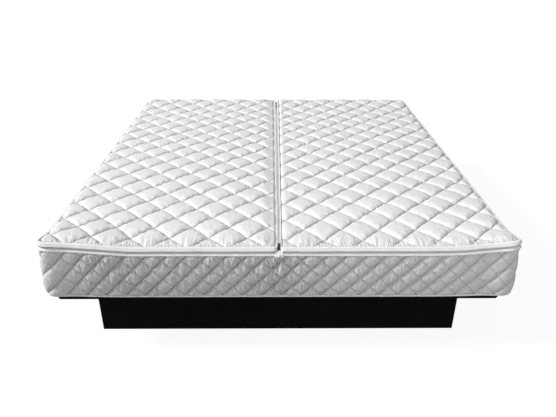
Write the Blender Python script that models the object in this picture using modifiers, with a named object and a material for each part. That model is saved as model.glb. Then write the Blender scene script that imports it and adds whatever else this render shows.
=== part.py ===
"""Softside waterbed with two water cores, a zipped quilted top in two halves and an inset black plinth.

Metres, +Z up. The origin is on the floor under the middle of the bed. +Y points to the head end and the
foot end faces -Y. The left half is at -X.
"""

import math

import bmesh
import bpy
import numpy as np
from mathutils import Matrix, Vector

# Overall sizes. The border's sides swell past the nominal size in their middle.
BED_WIDTH = 1.80
BED_LENGTH = 2.00
CORNER_RADIUS = 0.055
SIDE_SWELL = 0.010
SWELL_FLAT_SHARE = 0.70
CORNER_LIFT = 0.018
CORNER_LIFT_REACH = 0.28

# Clearances
SEAT_GAP = 0.0003
BINDING_GAP = 0.0006
SCREW_CLEARANCE = 0.0003
CUT_OVERRUN = 0.002
MERGE_DISTANCE = 0.00001

# Plinth and deck
PLINTH_INSET = 0.135
PLINTH_HEIGHT = 0.258
BOARD_THICKNESS = 0.016
BOARD_EDGE_ROUND = 0.0008
CROSS_DIVIDER_SPACING = 0.58
CORNER_BLOCK_SIDE = 0.040
CORNER_BLOCK_DROP = 0.050
DECK_THICKNESS = 0.019
DECK_INSET = 0.003
DECK_CORNER_CUT = 0.035
DECK_JOINT_GAP = 0.001

# Countersunk deck screws
SCREW_HEAD_RADIUS = 0.0042
SCREW_SHANK_RADIUS = 0.0022
SCREW_HEAD_DEPTH = 0.0030
SCREW_LENGTH = 0.045
SCREW_RECESS_RADIUS = 0.0018
SCREW_RECESS_DEPTH = 0.0015
SCREW_SEGMENTS = 12

# Border: quilted cloth with its padding, its bottom piping and its top binding
PIPING_DIAMETER = 0.007
BORDER_HEIGHT = 0.184
BORDER_THICKNESS = 0.010
BORDER_BELLY = 0.004
BORDER_PUFF = 0.006
BORDER_HALF_PITCH = 0.0375
BORDER_ROW_HEIGHT = 0.0393
BORDER_ROWS = 4
BINDING_WIDTH = 0.009
BINDING_HEIGHT = 0.010
BINDING_ROUND = 0.0025
BASE_CLOTH_THICKNESS = 0.002

# Zips
COIL_HEIGHT = 0.0035
COIL_DEPTH = 0.0030
COIL_RECESS = 0.0030
COIL_SPLIT = 0.0016
CENTRE_COIL_DROP = 0.0020
CENTRE_COIL_FOOT_END = 0.038
CENTRE_COIL_HEAD_END = 0.030
PERIMETER_COIL_START = 0.045

# Zip sliders and their pulls
SLIDER_LENGTH = 0.014
SLIDER_PLATE = 0.0010
SLIDER_RUN_CLEARANCE = 0.0003
SLIDER_POST_LENGTH = 0.005
SLIDER_PARK_DISTANCE = 0.031
LUG_LENGTH = 0.0030
LUG_THICKNESS = 0.0010
PIN_RADIUS = 0.00045
PULL_WIDTH = 0.0036
PULL_THICKNESS = 0.0010
PULL_LENGTH = 0.0170
PULL_EYE_RADIUS = 0.0011
PULL_BORE_RADIUS = 0.0007
PULL_HOLE_WIDTH = 0.0014
PULL_HOLE_LENGTH = 0.0060
CENTRE_PULL_TILT_DEG = 5.0

# Top pads
PAD_BINDING_HEIGHT = 0.011
PAD_INNER_RADIUS = 0.020
PAD_PITCH_X = 0.150
PAD_PITCH_Y = 0.1525
PAD_PUFF = 0.009
PAD_CROWN = 0.004
PAD_EDGE_DROP = 0.004
PAD_EDGE_ROLL = 0.035
PAD_CELL_INSET = 0.021
PAD_PHASE_X = 0.106
PAD_PHASE_Y = -0.022

# Foam rails, divider and what lies between them
FOAM_TOP_WIDTH = 0.090
FOAM_BOTTOM_WIDTH = 0.140
DIVIDER_TOP_WIDTH = 0.030
DIVIDER_BOTTOM_WIDTH = 0.110
INSULATION_THICKNESS = 0.010
LINER_THICKNESS = 0.001
LINER_LIP_WIDTH = 0.055
HEATER_WIDTH = 0.280
HEATER_LENGTH = 0.700
HEATER_THICKNESS = 0.003
HEATER_CORNER = 0.020
HEATER_TOWARDS_HEAD = 0.150
GLAND_WIDTH = 0.024
GLAND_LENGTH = 0.034
GLAND_HEIGHT = 0.0085
GLAND_BORE_RADIUS = 0.0030
GLAND_BORE_DEPTH = 0.020
CORD_CHANNEL_WIDTH = 0.014

# Water cores
VINYL_THICKNESS = 0.001
CORE_CORNER_RADIUS = 0.045
CORE_SIDE_GAP = 0.0006
FLEECE_THICKNESS = 0.060
FLEECE_MARGIN = 0.012
VALVE_FROM_FOOT = 0.340
DIMPLE_RADIUS = 0.048
DIMPLE_DEPTH = 0.021

# Valve
COLLAR_FLANGE_RADIUS = 0.026
COLLAR_FLANGE_THICKNESS = 0.0012
NECK_OUTER_RADIUS = 0.0140
NECK_BORE_RADIUS = 0.0110
NECK_HEIGHT = 0.0120
NECK_TAIL = 0.0060
PLUG_FLANGE_THICKNESS = 0.0015
PLUG_DEPTH = 0.0110
PLUG_WALL = 0.0016
PLUG_CLEARANCE = 0.0003
CAP_WALL = 0.0018
CAP_TOP_THICKNESS = 0.0020
CAP_CLEARANCE = 0.0004
CAP_RIB_COUNT = 24
CAP_RIB_DEPTH = 0.0005
TURNED_SEGMENTS = 32

# Levels, each worked out from what lies below
DECK_BOTTOM = PLINTH_HEIGHT + SEAT_GAP
DECK_TOP = DECK_BOTTOM + DECK_THICKNESS
MATTRESS_BOTTOM = DECK_TOP + SEAT_GAP
BASE_CLOTH_TOP = MATTRESS_BOTTOM + BASE_CLOTH_THICKNESS
FOAM_BOTTOM = BASE_CLOTH_TOP + SEAT_GAP
INSULATION_TOP = FOAM_BOTTOM + INSULATION_THICKNESS
LINER_BOTTOM = INSULATION_TOP + SEAT_GAP
LINER_FLOOR_TOP = LINER_BOTTOM + LINER_THICKNESS
BORDER_BOTTOM = MATTRESS_BOTTOM + PIPING_DIAMETER + SEAT_GAP
BORDER_TOP = BORDER_BOTTOM + BORDER_HEIGHT
FOAM_TOP = BORDER_TOP
LIP_BOTTOM = FOAM_TOP + SEAT_GAP
PAD_BOTTOM = LIP_BOTTOM + LINER_THICKNESS + SEAT_GAP
BORDER_BINDING_BOTTOM = BORDER_TOP + BINDING_GAP
LOWER_COIL_BOTTOM = BORDER_BINDING_BOTTOM + BINDING_HEIGHT + SEAT_GAP
UPPER_COIL_BOTTOM = LOWER_COIL_BOTTOM + COIL_HEIGHT + COIL_SPLIT
PAD_BINDING_BOTTOM = UPPER_COIL_BOTTOM + COIL_HEIGHT + SEAT_GAP
PAD_BINDING_TOP = PAD_BINDING_BOTTOM + PAD_BINDING_HEIGHT
PAD_VALLEY = PAD_BINDING_TOP - PAD_BINDING_HEIGHT / 6
CENTRE_COIL_TOP = PAD_BINDING_TOP - CENTRE_COIL_DROP
CORE_BOTTOM = LINER_FLOOR_TOP + SEAT_GAP
CORE_TOP = PAD_BOTTOM - SEAT_GAP

# Plan sizes that several pieces share
HALF_WIDTH = BED_WIDTH / 2
HALF_LENGTH = BED_LENGTH / 2
FRONT_FACE = HALF_LENGTH + SIDE_SWELL
PLINTH_WIDTH = BED_WIDTH - 2 * PLINTH_INSET
PLINTH_LENGTH = BED_LENGTH - 2 * PLINTH_INSET
PAD_INNER_EDGE = COIL_SPLIT / 2 + COIL_HEIGHT + SEAT_GAP
FOAM_HALF_WIDTH = HALF_WIDTH - BORDER_THICKNESS - SEAT_GAP
FOAM_HALF_LENGTH = HALF_LENGTH - BORDER_THICKNESS - SEAT_GAP
COIL_BACK = COIL_RECESS + COIL_DEPTH

# Places along a swollen side, as shares of its half length, and steps round a corner
SIDE_PLACE_SHARES = (SWELL_FLAT_SHARE, 0.80, 0.90, 1.00)
CORNER_STEPS = 6
# A cell that keeps this share of its area after trimming counts as whole
WHOLE_CELL_SHARE = 0.95
DENSE_STEPS = 400
SHARP_EDGE_DEG = 35


def clear_scene():
    """Remove the objects that a new file starts with."""
    for thing in list(bpy.data.objects):
        bpy.data.objects.remove(thing, do_unlink=True)


def make_collection(name):
    """Return a new collection linked to the scene."""
    collection = bpy.data.collections.new(name)
    bpy.context.scene.collection.children.link(collection)
    return collection


def make_material(name, colour, roughness, metallic=0.0):
    """Return a Principled BSDF material."""
    material = bpy.data.materials.new(name)
    material.use_nodes = True
    shader = material.node_tree.nodes["Principled BSDF"]
    shader.inputs["Base Color"].default_value = (*colour, 1.0)
    shader.inputs["Roughness"].default_value = roughness
    shader.inputs["Metallic"].default_value = metallic
    material.diffuse_color = (*colour, 1.0)
    return material


clear_scene()
PARTS = make_collection("waterbed")
CUTTERS = make_collection("cutters")


def add_object(name, mesh, material, origin=(0, 0, 0), parent=None):
    """Link a mesh that was made in world places as an object whose origin is at the given point."""
    mesh.transform(Matrix.Translation(-Vector(origin)))
    thing = bpy.data.objects.new(name, mesh)
    PARTS.objects.link(thing)
    mesh.materials.append(material)
    thing.location = Vector(origin)
    if parent is not None:
        thing.parent = parent
        thing.location = Vector(origin) - parent_place(parent)
    return thing


def parent_place(parent):
    """Return the world place of an empty or an object that is only moved, never turned."""
    place = Vector(parent.location)
    while parent.parent is not None:
        parent = parent.parent
        place += parent.location
    return place


def add_empty(name, place, parent=None):
    """Return an empty that carries the pieces of one moving body."""
    empty = bpy.data.objects.new(name, None)
    PARTS.objects.link(empty)
    empty.empty_display_size = CORNER_RADIUS
    empty.location = Vector(place) - (parent_place(parent) if parent else Vector())
    empty.parent = parent
    return empty


def add_cutter(name, mesh):
    """Link a mesh as a cutter, which is never part of the object."""
    cutter = bpy.data.objects.new(name, mesh)
    CUTTERS.objects.link(cutter)
    cutter.hide_render = True
    cutter.display_type = "WIRE"
    return cutter


def cut(thing, cutter, operation="DIFFERENCE"):
    """Add an exact Boolean to an object."""
    modifier = thing.modifiers.new(cutter.name, "BOOLEAN")
    modifier.operation = operation
    modifier.object = cutter
    modifier.solver = "EXACT"
    return modifier


def add_bevel(thing, width, segments=1, angle_deg=30):
    """Round the sharp edges of an object."""
    modifier = thing.modifiers.new("edges", "BEVEL")
    modifier.width = width
    modifier.segments = segments
    modifier.limit_method = "ANGLE"
    modifier.angle_limit = math.radians(angle_deg)
    return modifier


def mesh_from(bm, name):
    """Turn a bmesh into a mesh with its faces pointing out, shaded smooth but for its real edges."""
    bmesh.ops.recalc_face_normals(bm, faces=bm.faces[:])
    mesh = bpy.data.meshes.new(name)
    bm.to_mesh(mesh)
    bm.free()
    mesh.shade_smooth()
    mesh.set_sharp_from_angle(angle=math.radians(SHARP_EDGE_DEG))
    return mesh


def box_mesh(name, low, high):
    """Return a box between two corners."""
    bm = bmesh.new()
    bmesh.ops.create_cube(bm, size=1)
    size = Vector(high) - Vector(low)
    bmesh.ops.scale(bm, vec=size, verts=bm.verts)
    bmesh.ops.translate(bm, vec=(Vector(low) + Vector(high)) / 2, verts=bm.verts)
    return mesh_from(bm, name)


def hull_mesh(name, points):
    """Return the convex solid round a few points."""
    bm = bmesh.new()
    for point in points:
        bm.verts.new(point)
    result = bmesh.ops.convex_hull(bm, input=bm.verts)
    left_over = result["geom_unused"] + result["geom_interior"]
    inside = {item for item in left_over if isinstance(item, bmesh.types.BMVert)}
    bmesh.ops.delete(bm, geom=list(inside), context="VERTS")
    return mesh_from(bm, name)


def plate_mesh(name, outline, low, high):
    """Return a flat outline pulled up from one level to another."""
    bm = bmesh.new()
    face = bm.faces.new([bm.verts.new((x, y, low)) for x, y in outline])
    pulled = bmesh.ops.extrude_face_region(bm, geom=[face])
    top = [item for item in pulled["geom"] if isinstance(item, bmesh.types.BMVert)]
    bmesh.ops.translate(bm, vec=(0, 0, high - low), verts=top)
    return mesh_from(bm, name)


def cylinder_mesh(name, radius, low, high, centre=(0, 0), segments=TURNED_SEGMENTS, axis="Z"):
    """Return a cylinder along an axis, from low to high on it."""
    bm = bmesh.new()
    bmesh.ops.create_cone(
        bm, cap_ends=True, segments=segments, radius1=radius, radius2=radius, depth=high - low
    )
    bmesh.ops.translate(bm, vec=(0, 0, (low + high) / 2), verts=bm.verts)
    if axis == "Y":
        bmesh.ops.rotate(bm, cent=(0, 0, 0), matrix=Matrix.Rotation(-math.pi / 2, 3, "X"), verts=bm.verts)
        bmesh.ops.translate(bm, vec=(centre[0], 0, centre[1]), verts=bm.verts)
    else:
        bmesh.ops.translate(bm, vec=(centre[0], centre[1], 0), verts=bm.verts)
    return mesh_from(bm, name)


def turned(name, profile, place, material, parent=None, segments=TURNED_SEGMENTS, cutter=False, closed=False):
    """Return a turned piece: its profile runs down the outer side from top to bottom."""
    mesh = bpy.data.meshes.new(name)
    points = [(radius, 0, height) for radius, height in profile]
    edges = [(i, i + 1) for i in range(len(points) - 1)]
    if closed:
        edges.append((len(points) - 1, 0))
    mesh.from_pydata(points, edges, [])
    if cutter:
        thing = add_cutter(name, mesh)
        thing.location = Vector(place)
    else:
        mesh.transform(Matrix.Translation(Vector(place)))
        thing = add_object(name, mesh, material, place, parent)
    modifier = thing.modifiers.new("turn", "SCREW")
    modifier.axis = "Z"
    modifier.steps = modifier.render_steps = segments
    modifier.use_merge_vertices = True
    modifier.merge_threshold = MERGE_DISTANCE
    modifier.use_smooth_shade = True
    return thing


def swell(share):
    """Return how far a side stands out at a share of its half length: flat, then a parabola to nothing."""
    past = np.clip((np.abs(share) - SWELL_FLAT_SHARE) / (1 - SWELL_FLAT_SHARE), 0, 1)
    return SIDE_SWELL * (1 - past**2)


def swell_slope(share, half):
    """Return the slope of the swell along a side of the given half length."""
    past = np.clip((np.abs(share) - SWELL_FLAT_SHARE) / (1 - SWELL_FLAT_SHARE), 0, 1)
    return -2 * SIDE_SWELL * past * np.sign(share) / (1 - SWELL_FLAT_SHARE) / half


def bed_rim(shares, corner_steps):
    """Return (base, normal) round the bed, anticlockwise from the middle of the foot end.

    Each point of the rim is base + radius * normal with the corner radius, so a larger or smaller radius
    gives a parallel line. A corner's points share one base and turn the normal through the corner.
    """
    half_x = HALF_WIDTH - CORNER_RADIUS
    half_y = HALF_LENGTH - CORNER_RADIUS
    shares = np.array(shares)
    both = np.concatenate([-shares[::-1], shares])
    base, normal = [], []
    for turn, (along, across) in enumerate(((half_x, half_y), (half_y, half_x)) * 2):
        places = both * along
        slope = swell_slope(both, along)
        points = np.stack([places, -across - swell(both)], 1)
        normals = np.stack([-slope, -np.ones_like(slope)], 1)
        normals /= np.linalg.norm(normals, axis=1, keepdims=True)
        angle = turn * math.pi / 2
        spin = np.array([[math.cos(angle), math.sin(angle)], [-math.sin(angle), math.cos(angle)]])
        base.append(points @ spin)
        normal.append(normals @ spin)
    points, normals = [], []
    for side in range(4):
        points.append(base[side])
        normals.append(normal[side])
        first, last = normal[side][-1], normal[(side + 1) % 4][0]
        start = math.atan2(first[1], first[0])
        sweep = (math.atan2(last[1], last[0]) - start) % (2 * math.pi)
        angles = start + sweep * np.arange(1, corner_steps) / corner_steps
        points.append(np.repeat(base[side][-1:], corner_steps - 1, 0))
        normals.append(np.stack([np.cos(angles), np.sin(angles)], 1))
    points, normals = np.concatenate(points), np.concatenate(normals)
    first = len(shares)
    return np.roll(points, -first, 0), np.roll(normals, -first, 0)


def rim_line(base, normal, outset=0.0):
    """Return the points of the line that runs the given distance outside the bed's rim."""
    return base + (CORNER_RADIUS + outset) * normal


def lift(points):
    """Return how far the rim rises at plan points: a parabola of the distance from the nearest corner."""
    away = np.hypot(np.abs(points[..., 0]) - HALF_WIDTH, np.abs(points[..., 1]) - HALF_LENGTH)
    return CORNER_LIFT * np.clip(1 - away / CORNER_LIFT_REACH, 0, 1) ** 2


def line_lengths(points):
    """Return the distance along a closed line at each of its points, and its whole length."""
    steps = np.linalg.norm(np.roll(points, -1, 0) - points, axis=1)
    return np.concatenate([[0], np.cumsum(steps)[:-1]]), steps.sum()


def even_rim(count):
    """Return (base, normal, distance, whole length) at an even spacing round the bed."""
    dense_shares = np.linspace(0, 1, DENSE_STEPS)[1:]
    base, normal = bed_rim(dense_shares, DENSE_STEPS // 4)
    distance, whole = line_lengths(rim_line(base, normal))
    start = np.array([[0, -(HALF_LENGTH - CORNER_RADIUS) - SIDE_SWELL]])
    lead = np.linalg.norm(base[0] - start[0])
    distance = np.concatenate([[0], distance + lead, [whole]])
    base = np.concatenate([start, base, start])
    normal = np.concatenate([[[0, -1]], normal, [[0, -1]]])
    wanted = whole * np.arange(count) / count
    base = np.stack([np.interp(wanted, distance, base[:, i]) for i in range(2)], 1)
    normal = np.stack([np.interp(wanted, distance, normal[:, i]) for i in range(2)], 1)
    normal /= np.linalg.norm(normal, axis=1, keepdims=True)
    return base, normal, wanted, whole


def skin(name, loops, closed):
    """Return a solid through equal loops of points: ring after ring, closed on itself or with two caps."""
    bm = bmesh.new()
    rings = [[bm.verts.new(point) for point in loop] for loop in loops]
    count = len(rings[0])
    for first, second in zip(rings, rings[1:] + rings[:1] if closed else rings[1:]):
        for i in range(count):
            bm.faces.new((first[i], first[(i + 1) % count], second[(i + 1) % count], second[i]))
    if not closed:
        bm.faces.new(rings[0])
        bm.faces.new(rings[-1])
    return mesh_from(bm, name)


def strip_mesh(name, base, normal, radii, section, closed):
    """Return a solid with one section carried along a rim. The section holds (outset, height) pairs."""
    rim = base + radii[:, None] * normal
    rise = lift(rim)
    loops = []
    for place, way, up in zip(rim, normal, rise):
        loops.append([(*(place + outset * way), height + up) for outset, height in section])
    return skin(name, loops, closed)


def rounded_section(outer, inner, bottom, top, radius):
    """Return a section with its two outer corners cut round in three steps."""
    points = [(inner, bottom), (outer - radius, bottom)]
    for step in range(1, 3):
        angle = -math.pi / 2 + step * math.pi / 6
        points.append((outer - radius + radius * math.cos(angle), bottom + radius + radius * math.sin(angle)))
    for step in range(0, 3):
        angle = step * math.pi / 6 + math.pi / 12
        points.append((outer - radius + radius * math.cos(angle), top - radius + radius * math.sin(angle)))
    points += [(outer - radius, top), (inner, top)]
    return points


def pad_rim(side, corner_steps=CORNER_STEPS):
    """Return (base, normal, radii) round one pad. The side is -1 for the left pad and +1 for the right."""
    base, normal = bed_rim(SIDE_PLACE_SHARES, corner_steps)
    inner_x = PAD_INNER_EDGE + PAD_INNER_RADIUS
    keep = base[:, 0] > inner_x
    base, normal = base[keep], normal[keep]
    radii = np.full(len(base), CORNER_RADIUS)
    angles = np.arange(corner_steps + 1) * math.pi / 2 / corner_steps
    centre_y = FRONT_FACE - PAD_INNER_RADIUS
    for turn, centre in ((0, (inner_x, centre_y)), (math.pi / 2, (inner_x, -centre_y))):
        around = math.pi / 2 + turn + angles
        base = np.concatenate([base, np.repeat([centre], len(around), 0)])
        normal = np.concatenate([normal, np.stack([np.cos(around), np.sin(around)], 1)])
        radii = np.concatenate([radii, np.full(len(around), PAD_INNER_RADIUS)])
    if side < 0:
        base, normal, radii = base[::-1] * (-1, 1), normal[::-1] * (-1, 1), radii[::-1]
    return base, normal, radii


def make_materials():
    """Return the finishes by name, with colours read from the photograph by eye."""
    return {
        "quilt": make_material("white_quilted_cloth", (0.86, 0.86, 0.86), 0.85),
        "tape": make_material("white_binding_tape", (0.90, 0.90, 0.90), 0.80),
        "border": make_material("white_border_cloth", (0.80, 0.80, 0.81), 0.85),
        "zip": make_material("grey_zip_coil", (0.30, 0.30, 0.31), 0.50),
        "slider": make_material("dark_zip_metal", (0.08, 0.08, 0.085), 0.35, 0.9),
        "board": make_material("black_board", (0.012, 0.012, 0.013), 0.45),
        "block": make_material("plain_pine", (0.62, 0.45, 0.27), 0.65),
        "screw": make_material("zinc_screw", (0.55, 0.55, 0.52), 0.35, 1.0),
        "base_cloth": make_material("dark_base_cloth", (0.05, 0.05, 0.055), 0.90),
        "foam": make_material("pale_foam", (0.83, 0.80, 0.66), 0.90),
        "divider": make_material("blue_grey_foam", (0.50, 0.58, 0.66), 0.90),
        "insulation": make_material("pale_insulation", (0.78, 0.79, 0.80), 0.80),
        "heater": make_material("black_heater_film", (0.03, 0.03, 0.035), 0.50),
        "liner": make_material("grey_liner_vinyl", (0.35, 0.40, 0.46), 0.35),
        "vinyl": make_material("blue_core_vinyl", (0.22, 0.42, 0.66), 0.25),
        "water": make_material("water", (0.55, 0.75, 0.85), 0.05),
        "fleece": make_material("white_fleece", (0.88, 0.89, 0.88), 0.95),
        "valve": make_material("white_valve_plastic", (0.85, 0.86, 0.86), 0.35),
        "cap": make_material("blue_cap_plastic", (0.07, 0.18, 0.42), 0.35),
    }


FINISH = make_materials()


def make_plinth():
    """Build the plinth's boards, its two-way dividers and the blocks in its corners."""
    half_x, half_y = PLINTH_WIDTH / 2, PLINTH_LENGTH / 2
    inner_x, inner_y = half_x - BOARD_THICKNESS, half_y - BOARD_THICKNESS
    thin = BOARD_THICKNESS / 2
    for name, way in (("plinth_left", -1), ("plinth_right", 1)):
        low_x, high_x = sorted((way * inner_x, way * half_x))
        mesh = box_mesh(name, (low_x, -half_y, 0), (high_x, half_y, PLINTH_HEIGHT))
        add_bevel(add_object(name, mesh, FINISH["board"], (way * (inner_x + thin), 0, 0)), BOARD_EDGE_ROUND)
    for name, way in (("plinth_foot", -1), ("plinth_head", 1)):
        low_y, high_y = sorted((way * inner_y, way * half_y))
        reach = inner_x - SEAT_GAP
        mesh = box_mesh(name, (-reach, low_y, 0), (reach, high_y, PLINTH_HEIGHT))
        add_bevel(add_object(name, mesh, FINISH["board"], (0, way * (inner_y + thin), 0)), BOARD_EDGE_ROUND)

    reach = inner_y - SEAT_GAP
    mesh = box_mesh("plinth_long_divider", (-thin, -reach, 0), (thin, reach, PLINTH_HEIGHT))
    long_divider = add_object("plinth_long_divider", mesh, FINISH["board"])
    slot = thin + SEAT_GAP
    middle = PLINTH_HEIGHT / 2
    for name, way in (("plinth_cross_divider_foot", -1), ("plinth_cross_divider_head", 1)):
        y = way * CROSS_DIVIDER_SPACING / 2
        reach = inner_x - SEAT_GAP
        mesh = box_mesh(name, (-reach, y - thin, 0), (reach, y + thin, PLINTH_HEIGHT))
        cross = add_object(name, mesh, FINISH["board"], (0, y, 0))
        mesh = box_mesh(
            name + "_slot", (-slot, y - thin - CUT_OVERRUN, middle - SEAT_GAP / 2),
            (slot, y + thin + CUT_OVERRUN, PLINTH_HEIGHT + CUT_OVERRUN),
        )
        cut(cross, add_cutter(name + "_slot", mesh))
        mesh = box_mesh(
            name + "_notch", (-thin - CUT_OVERRUN, y - slot, -CUT_OVERRUN),
            (thin + CUT_OVERRUN, y + slot, middle + SEAT_GAP / 2),
        )
        cut(long_divider, add_cutter(name + "_notch", mesh))

    for name, way_x, way_y in corner_names("corner_block"):
        near_x, near_y = inner_x - SEAT_GAP, inner_y - SEAT_GAP
        low_x, high_x = sorted((way_x * near_x, way_x * (near_x - CORNER_BLOCK_SIDE)))
        low_y, high_y = sorted((way_y * near_y, way_y * (near_y - CORNER_BLOCK_SIDE)))
        mesh = box_mesh(name, (low_x, low_y, CORNER_BLOCK_DROP), (high_x, high_y, PLINTH_HEIGHT))
        block = add_object(name, mesh, FINISH["block"])
        x, y = screw_place(way_x, way_y)
        mesh = cylinder_mesh(
            name + "_hole", SCREW_SHANK_RADIUS + SCREW_CLEARANCE,
            DECK_TOP - SCREW_LENGTH - SCREW_CLEARANCE, PLINTH_HEIGHT + CUT_OVERRUN, (x, y), SCREW_SEGMENTS,
        )
        cut(block, add_cutter(name + "_hole", mesh))


def corner_names(stem):
    """Return (name, x way, y way) for the four corners."""
    ends = (("foot", -1), ("head", 1))
    sides = (("left", -1), ("right", 1))
    return [(f"{stem}_{end}_{side}", x, y) for end, y in ends for side, x in sides]


def screw_place(way_x, way_y):
    """Return where a deck screw goes down into a corner block."""
    inset = BOARD_THICKNESS + SEAT_GAP + CORNER_BLOCK_SIDE / 2
    return way_x * (PLINTH_WIDTH / 2 - inset), way_y * (PLINTH_LENGTH / 2 - inset)


def screw_profile(grow, head_top):
    """Return a countersunk screw's profile, grown by a clearance for its hole."""
    return [
        (0, head_top),
        (SCREW_HEAD_RADIUS + grow, head_top),
        (SCREW_HEAD_RADIUS + grow, DECK_TOP),
        (SCREW_SHANK_RADIUS + grow, DECK_TOP - SCREW_HEAD_DEPTH),
        (SCREW_SHANK_RADIUS + grow, DECK_TOP - SCREW_LENGTH - grow),
        (0, DECK_TOP - SCREW_LENGTH - grow),
    ]


def make_deck():
    """Build the two deck boards with cut outer corners, and the screws that hold them down."""
    far_x, far_y = HALF_WIDTH - DECK_INSET, HALF_LENGTH - DECK_INSET
    near_x = DECK_JOINT_GAP / 2
    for name, way in (("deck_left", -1), ("deck_right", 1)):
        outline = [
            (near_x, -far_y), (far_x - DECK_CORNER_CUT, -far_y), (far_x, -far_y + DECK_CORNER_CUT),
            (far_x, far_y - DECK_CORNER_CUT), (far_x - DECK_CORNER_CUT, far_y), (near_x, far_y),
        ]
        outline = [(way * x, y) for x, y in outline]
        mesh = plate_mesh(name, outline, DECK_BOTTOM, DECK_TOP)
        deck = add_object(name, mesh, FINISH["board"], (way * far_x / 2, 0, DECK_BOTTOM))
        for end in (-1, 1):
            x, y = screw_place(way, end)
            cutter_name = f"{name}_hole_{'foot' if end < 0 else 'head'}"
            profile = screw_profile(SCREW_CLEARANCE, DECK_TOP + CUT_OVERRUN)
            cut(deck, turned(cutter_name, profile, (x, y, 0), None, segments=SCREW_SEGMENTS, cutter=True))
    for name, way_x, way_y in corner_names("deck_screw"):
        x, y = screw_place(way_x, way_y)
        profile = screw_profile(0, DECK_TOP)[1:]
        low = DECK_TOP - SCREW_RECESS_DEPTH
        profile = [(0, low), (SCREW_RECESS_RADIUS, low), (SCREW_RECESS_RADIUS, DECK_TOP)] + profile[1:]
        turned(name, profile, (x, y, 0), FINISH["screw"], segments=SCREW_SEGMENTS)


def join_strip(bm, first, first_places, second, second_places, whole):
    """Fill between two closed loops of unlike counts, stepping whichever loop comes next along the rim."""
    i, j = 0, 0
    while i < len(first) or j < len(second):
        next_i = first_places[i + 1] if i + 1 < len(first) else whole + (i + 1 - len(first)) * whole
        next_j = second_places[j + 1] if j + 1 < len(second) else whole + (j + 1 - len(second)) * whole
        a, b = first[i % len(first)], second[j % len(second)]
        if j >= len(second) or (i < len(first) and next_i <= next_j):
            bm.faces.new((a, first[(i + 1) % len(first)], b))
            i += 1
        else:
            bm.faces.new((a, second[(j + 1) % len(second)], b))
            j += 1


def make_border():
    """Build the quilted border as a closed ring, its piping below and its binding above.

    The outer face is a lattice of sewn seams. Its points stand out by the puff in the middle of a cell
    and by nothing where two seams cross, and each square is split along its seam.
    """
    side_base, side_normal = bed_rim(SIDE_PLACE_SHARES, CORNER_STEPS)
    side_rim = rim_line(side_base, side_normal)
    side_rise = lift(side_rim)
    side_places, side_length = line_lengths(side_rim)
    side_places = side_places + side_base[0][0]
    count = 2 * round(side_length / BORDER_HALF_PITCH / 2)
    base, normal, places, whole = even_rim(count)
    rim = rim_line(base, normal)
    rise = lift(rim)
    bm = bmesh.new()
    rows = []
    for row in range(BORDER_ROWS + 1):
        share = row * BORDER_ROW_HEIGHT / BORDER_HEIGHT
        crossing = (np.arange(count) + row) % 2 == 0
        outset = BORDER_BELLY * math.sin(math.pi * share) + np.where(crossing, 0, BORDER_PUFF)
        if row == 0:
            outset = np.zeros(count)
        points = rim + (outset - BORDER_PUFF / 2)[:, None] * normal
        heights = BORDER_BOTTOM + share * (BORDER_HEIGHT + rise)
        rows.append([bm.verts.new((x, y, z)) for (x, y), z in zip(points, heights)])
    for row in range(BORDER_ROWS):
        lower, upper = rows[row], rows[row + 1]
        for i in range(count):
            j = (i + 1) % count
            if (i + row) % 2 == 0:
                bm.faces.new((lower[i], lower[j], upper[j]))
                bm.faces.new((lower[i], upper[j], upper[i]))
            else:
                bm.faces.new((lower[i], lower[j], upper[i]))
                bm.faces.new((lower[j], upper[j], upper[i]))

    top = []
    for i in range(0, count, 2):
        x, y = rim[i] - BORDER_PUFF / 2 * normal[i]
        top.append(bm.verts.new((x, y, BORDER_TOP + rise[i])))
    for i in range(0, count, 2):
        before, middle, after = rows[-1][i], rows[-1][i + 1], rows[-1][(i + 2) % count]
        above, next_above = top[i // 2], top[(i // 2 + 1) % len(top)]
        bm.faces.new((before, middle, above))
        bm.faces.new((middle, after, next_above))
        bm.faces.new((middle, next_above, above))

    inner = side_rim - BORDER_THICKNESS * side_normal
    inner_top = [bm.verts.new((x, y, BORDER_TOP + up)) for (x, y), up in zip(inner, side_rise)]
    inner_bottom = [bm.verts.new((x, y, BORDER_BOTTOM)) for x, y in inner]
    join_strip(bm, top, places[::2], inner_top, side_places, whole)
    for i in range(len(inner)):
        j = (i + 1) % len(inner)
        bm.faces.new((inner_top[i], inner_top[j], inner_bottom[j], inner_bottom[i]))
    join_strip(bm, rows[0], places, inner_bottom, side_places, whole)
    add_object("border_cover", mesh_from(bm, "border_cover"), FINISH["border"], (0, 0, BORDER_BOTTOM))

    make_piping()
    section = rounded_section(
        0, -BINDING_WIDTH, BORDER_BINDING_BOTTOM, BORDER_BINDING_BOTTOM + BINDING_HEIGHT, BINDING_ROUND
    )
    radii = np.full(len(side_base), CORNER_RADIUS)
    mesh = strip_mesh("border_binding", side_base, side_normal, radii, section, True)
    add_object("border_binding", mesh, FINISH["tape"], (0, 0, BORDER_BINDING_BOTTOM))


def make_piping():
    """Build the piping along the border's bottom seam as a closed tube."""
    base, normal = bed_rim(SIDE_PLACE_SHARES, CORNER_STEPS)
    path = rim_line(base, normal, -PIPING_DIAMETER / 2)
    curve = bpy.data.curves.new("bottom_piping", "CURVE")
    curve.dimensions = "3D"
    curve.twist_mode = "Z_UP"
    curve.bevel_depth = PIPING_DIAMETER / 2
    curve.bevel_resolution = 2
    spline = curve.splines.new("POLY")
    spline.points.add(len(path) - 1)
    level = MATTRESS_BOTTOM + PIPING_DIAMETER / 2
    for point, (x, y) in zip(spline.points, path):
        point.co = (x, y, 0, 1)
    spline.use_cyclic_u = True
    piping = bpy.data.objects.new("bottom_piping", curve)
    PARTS.objects.link(piping)
    curve.materials.append(FINISH["tape"])
    piping.location = (0, 0, level)


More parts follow.
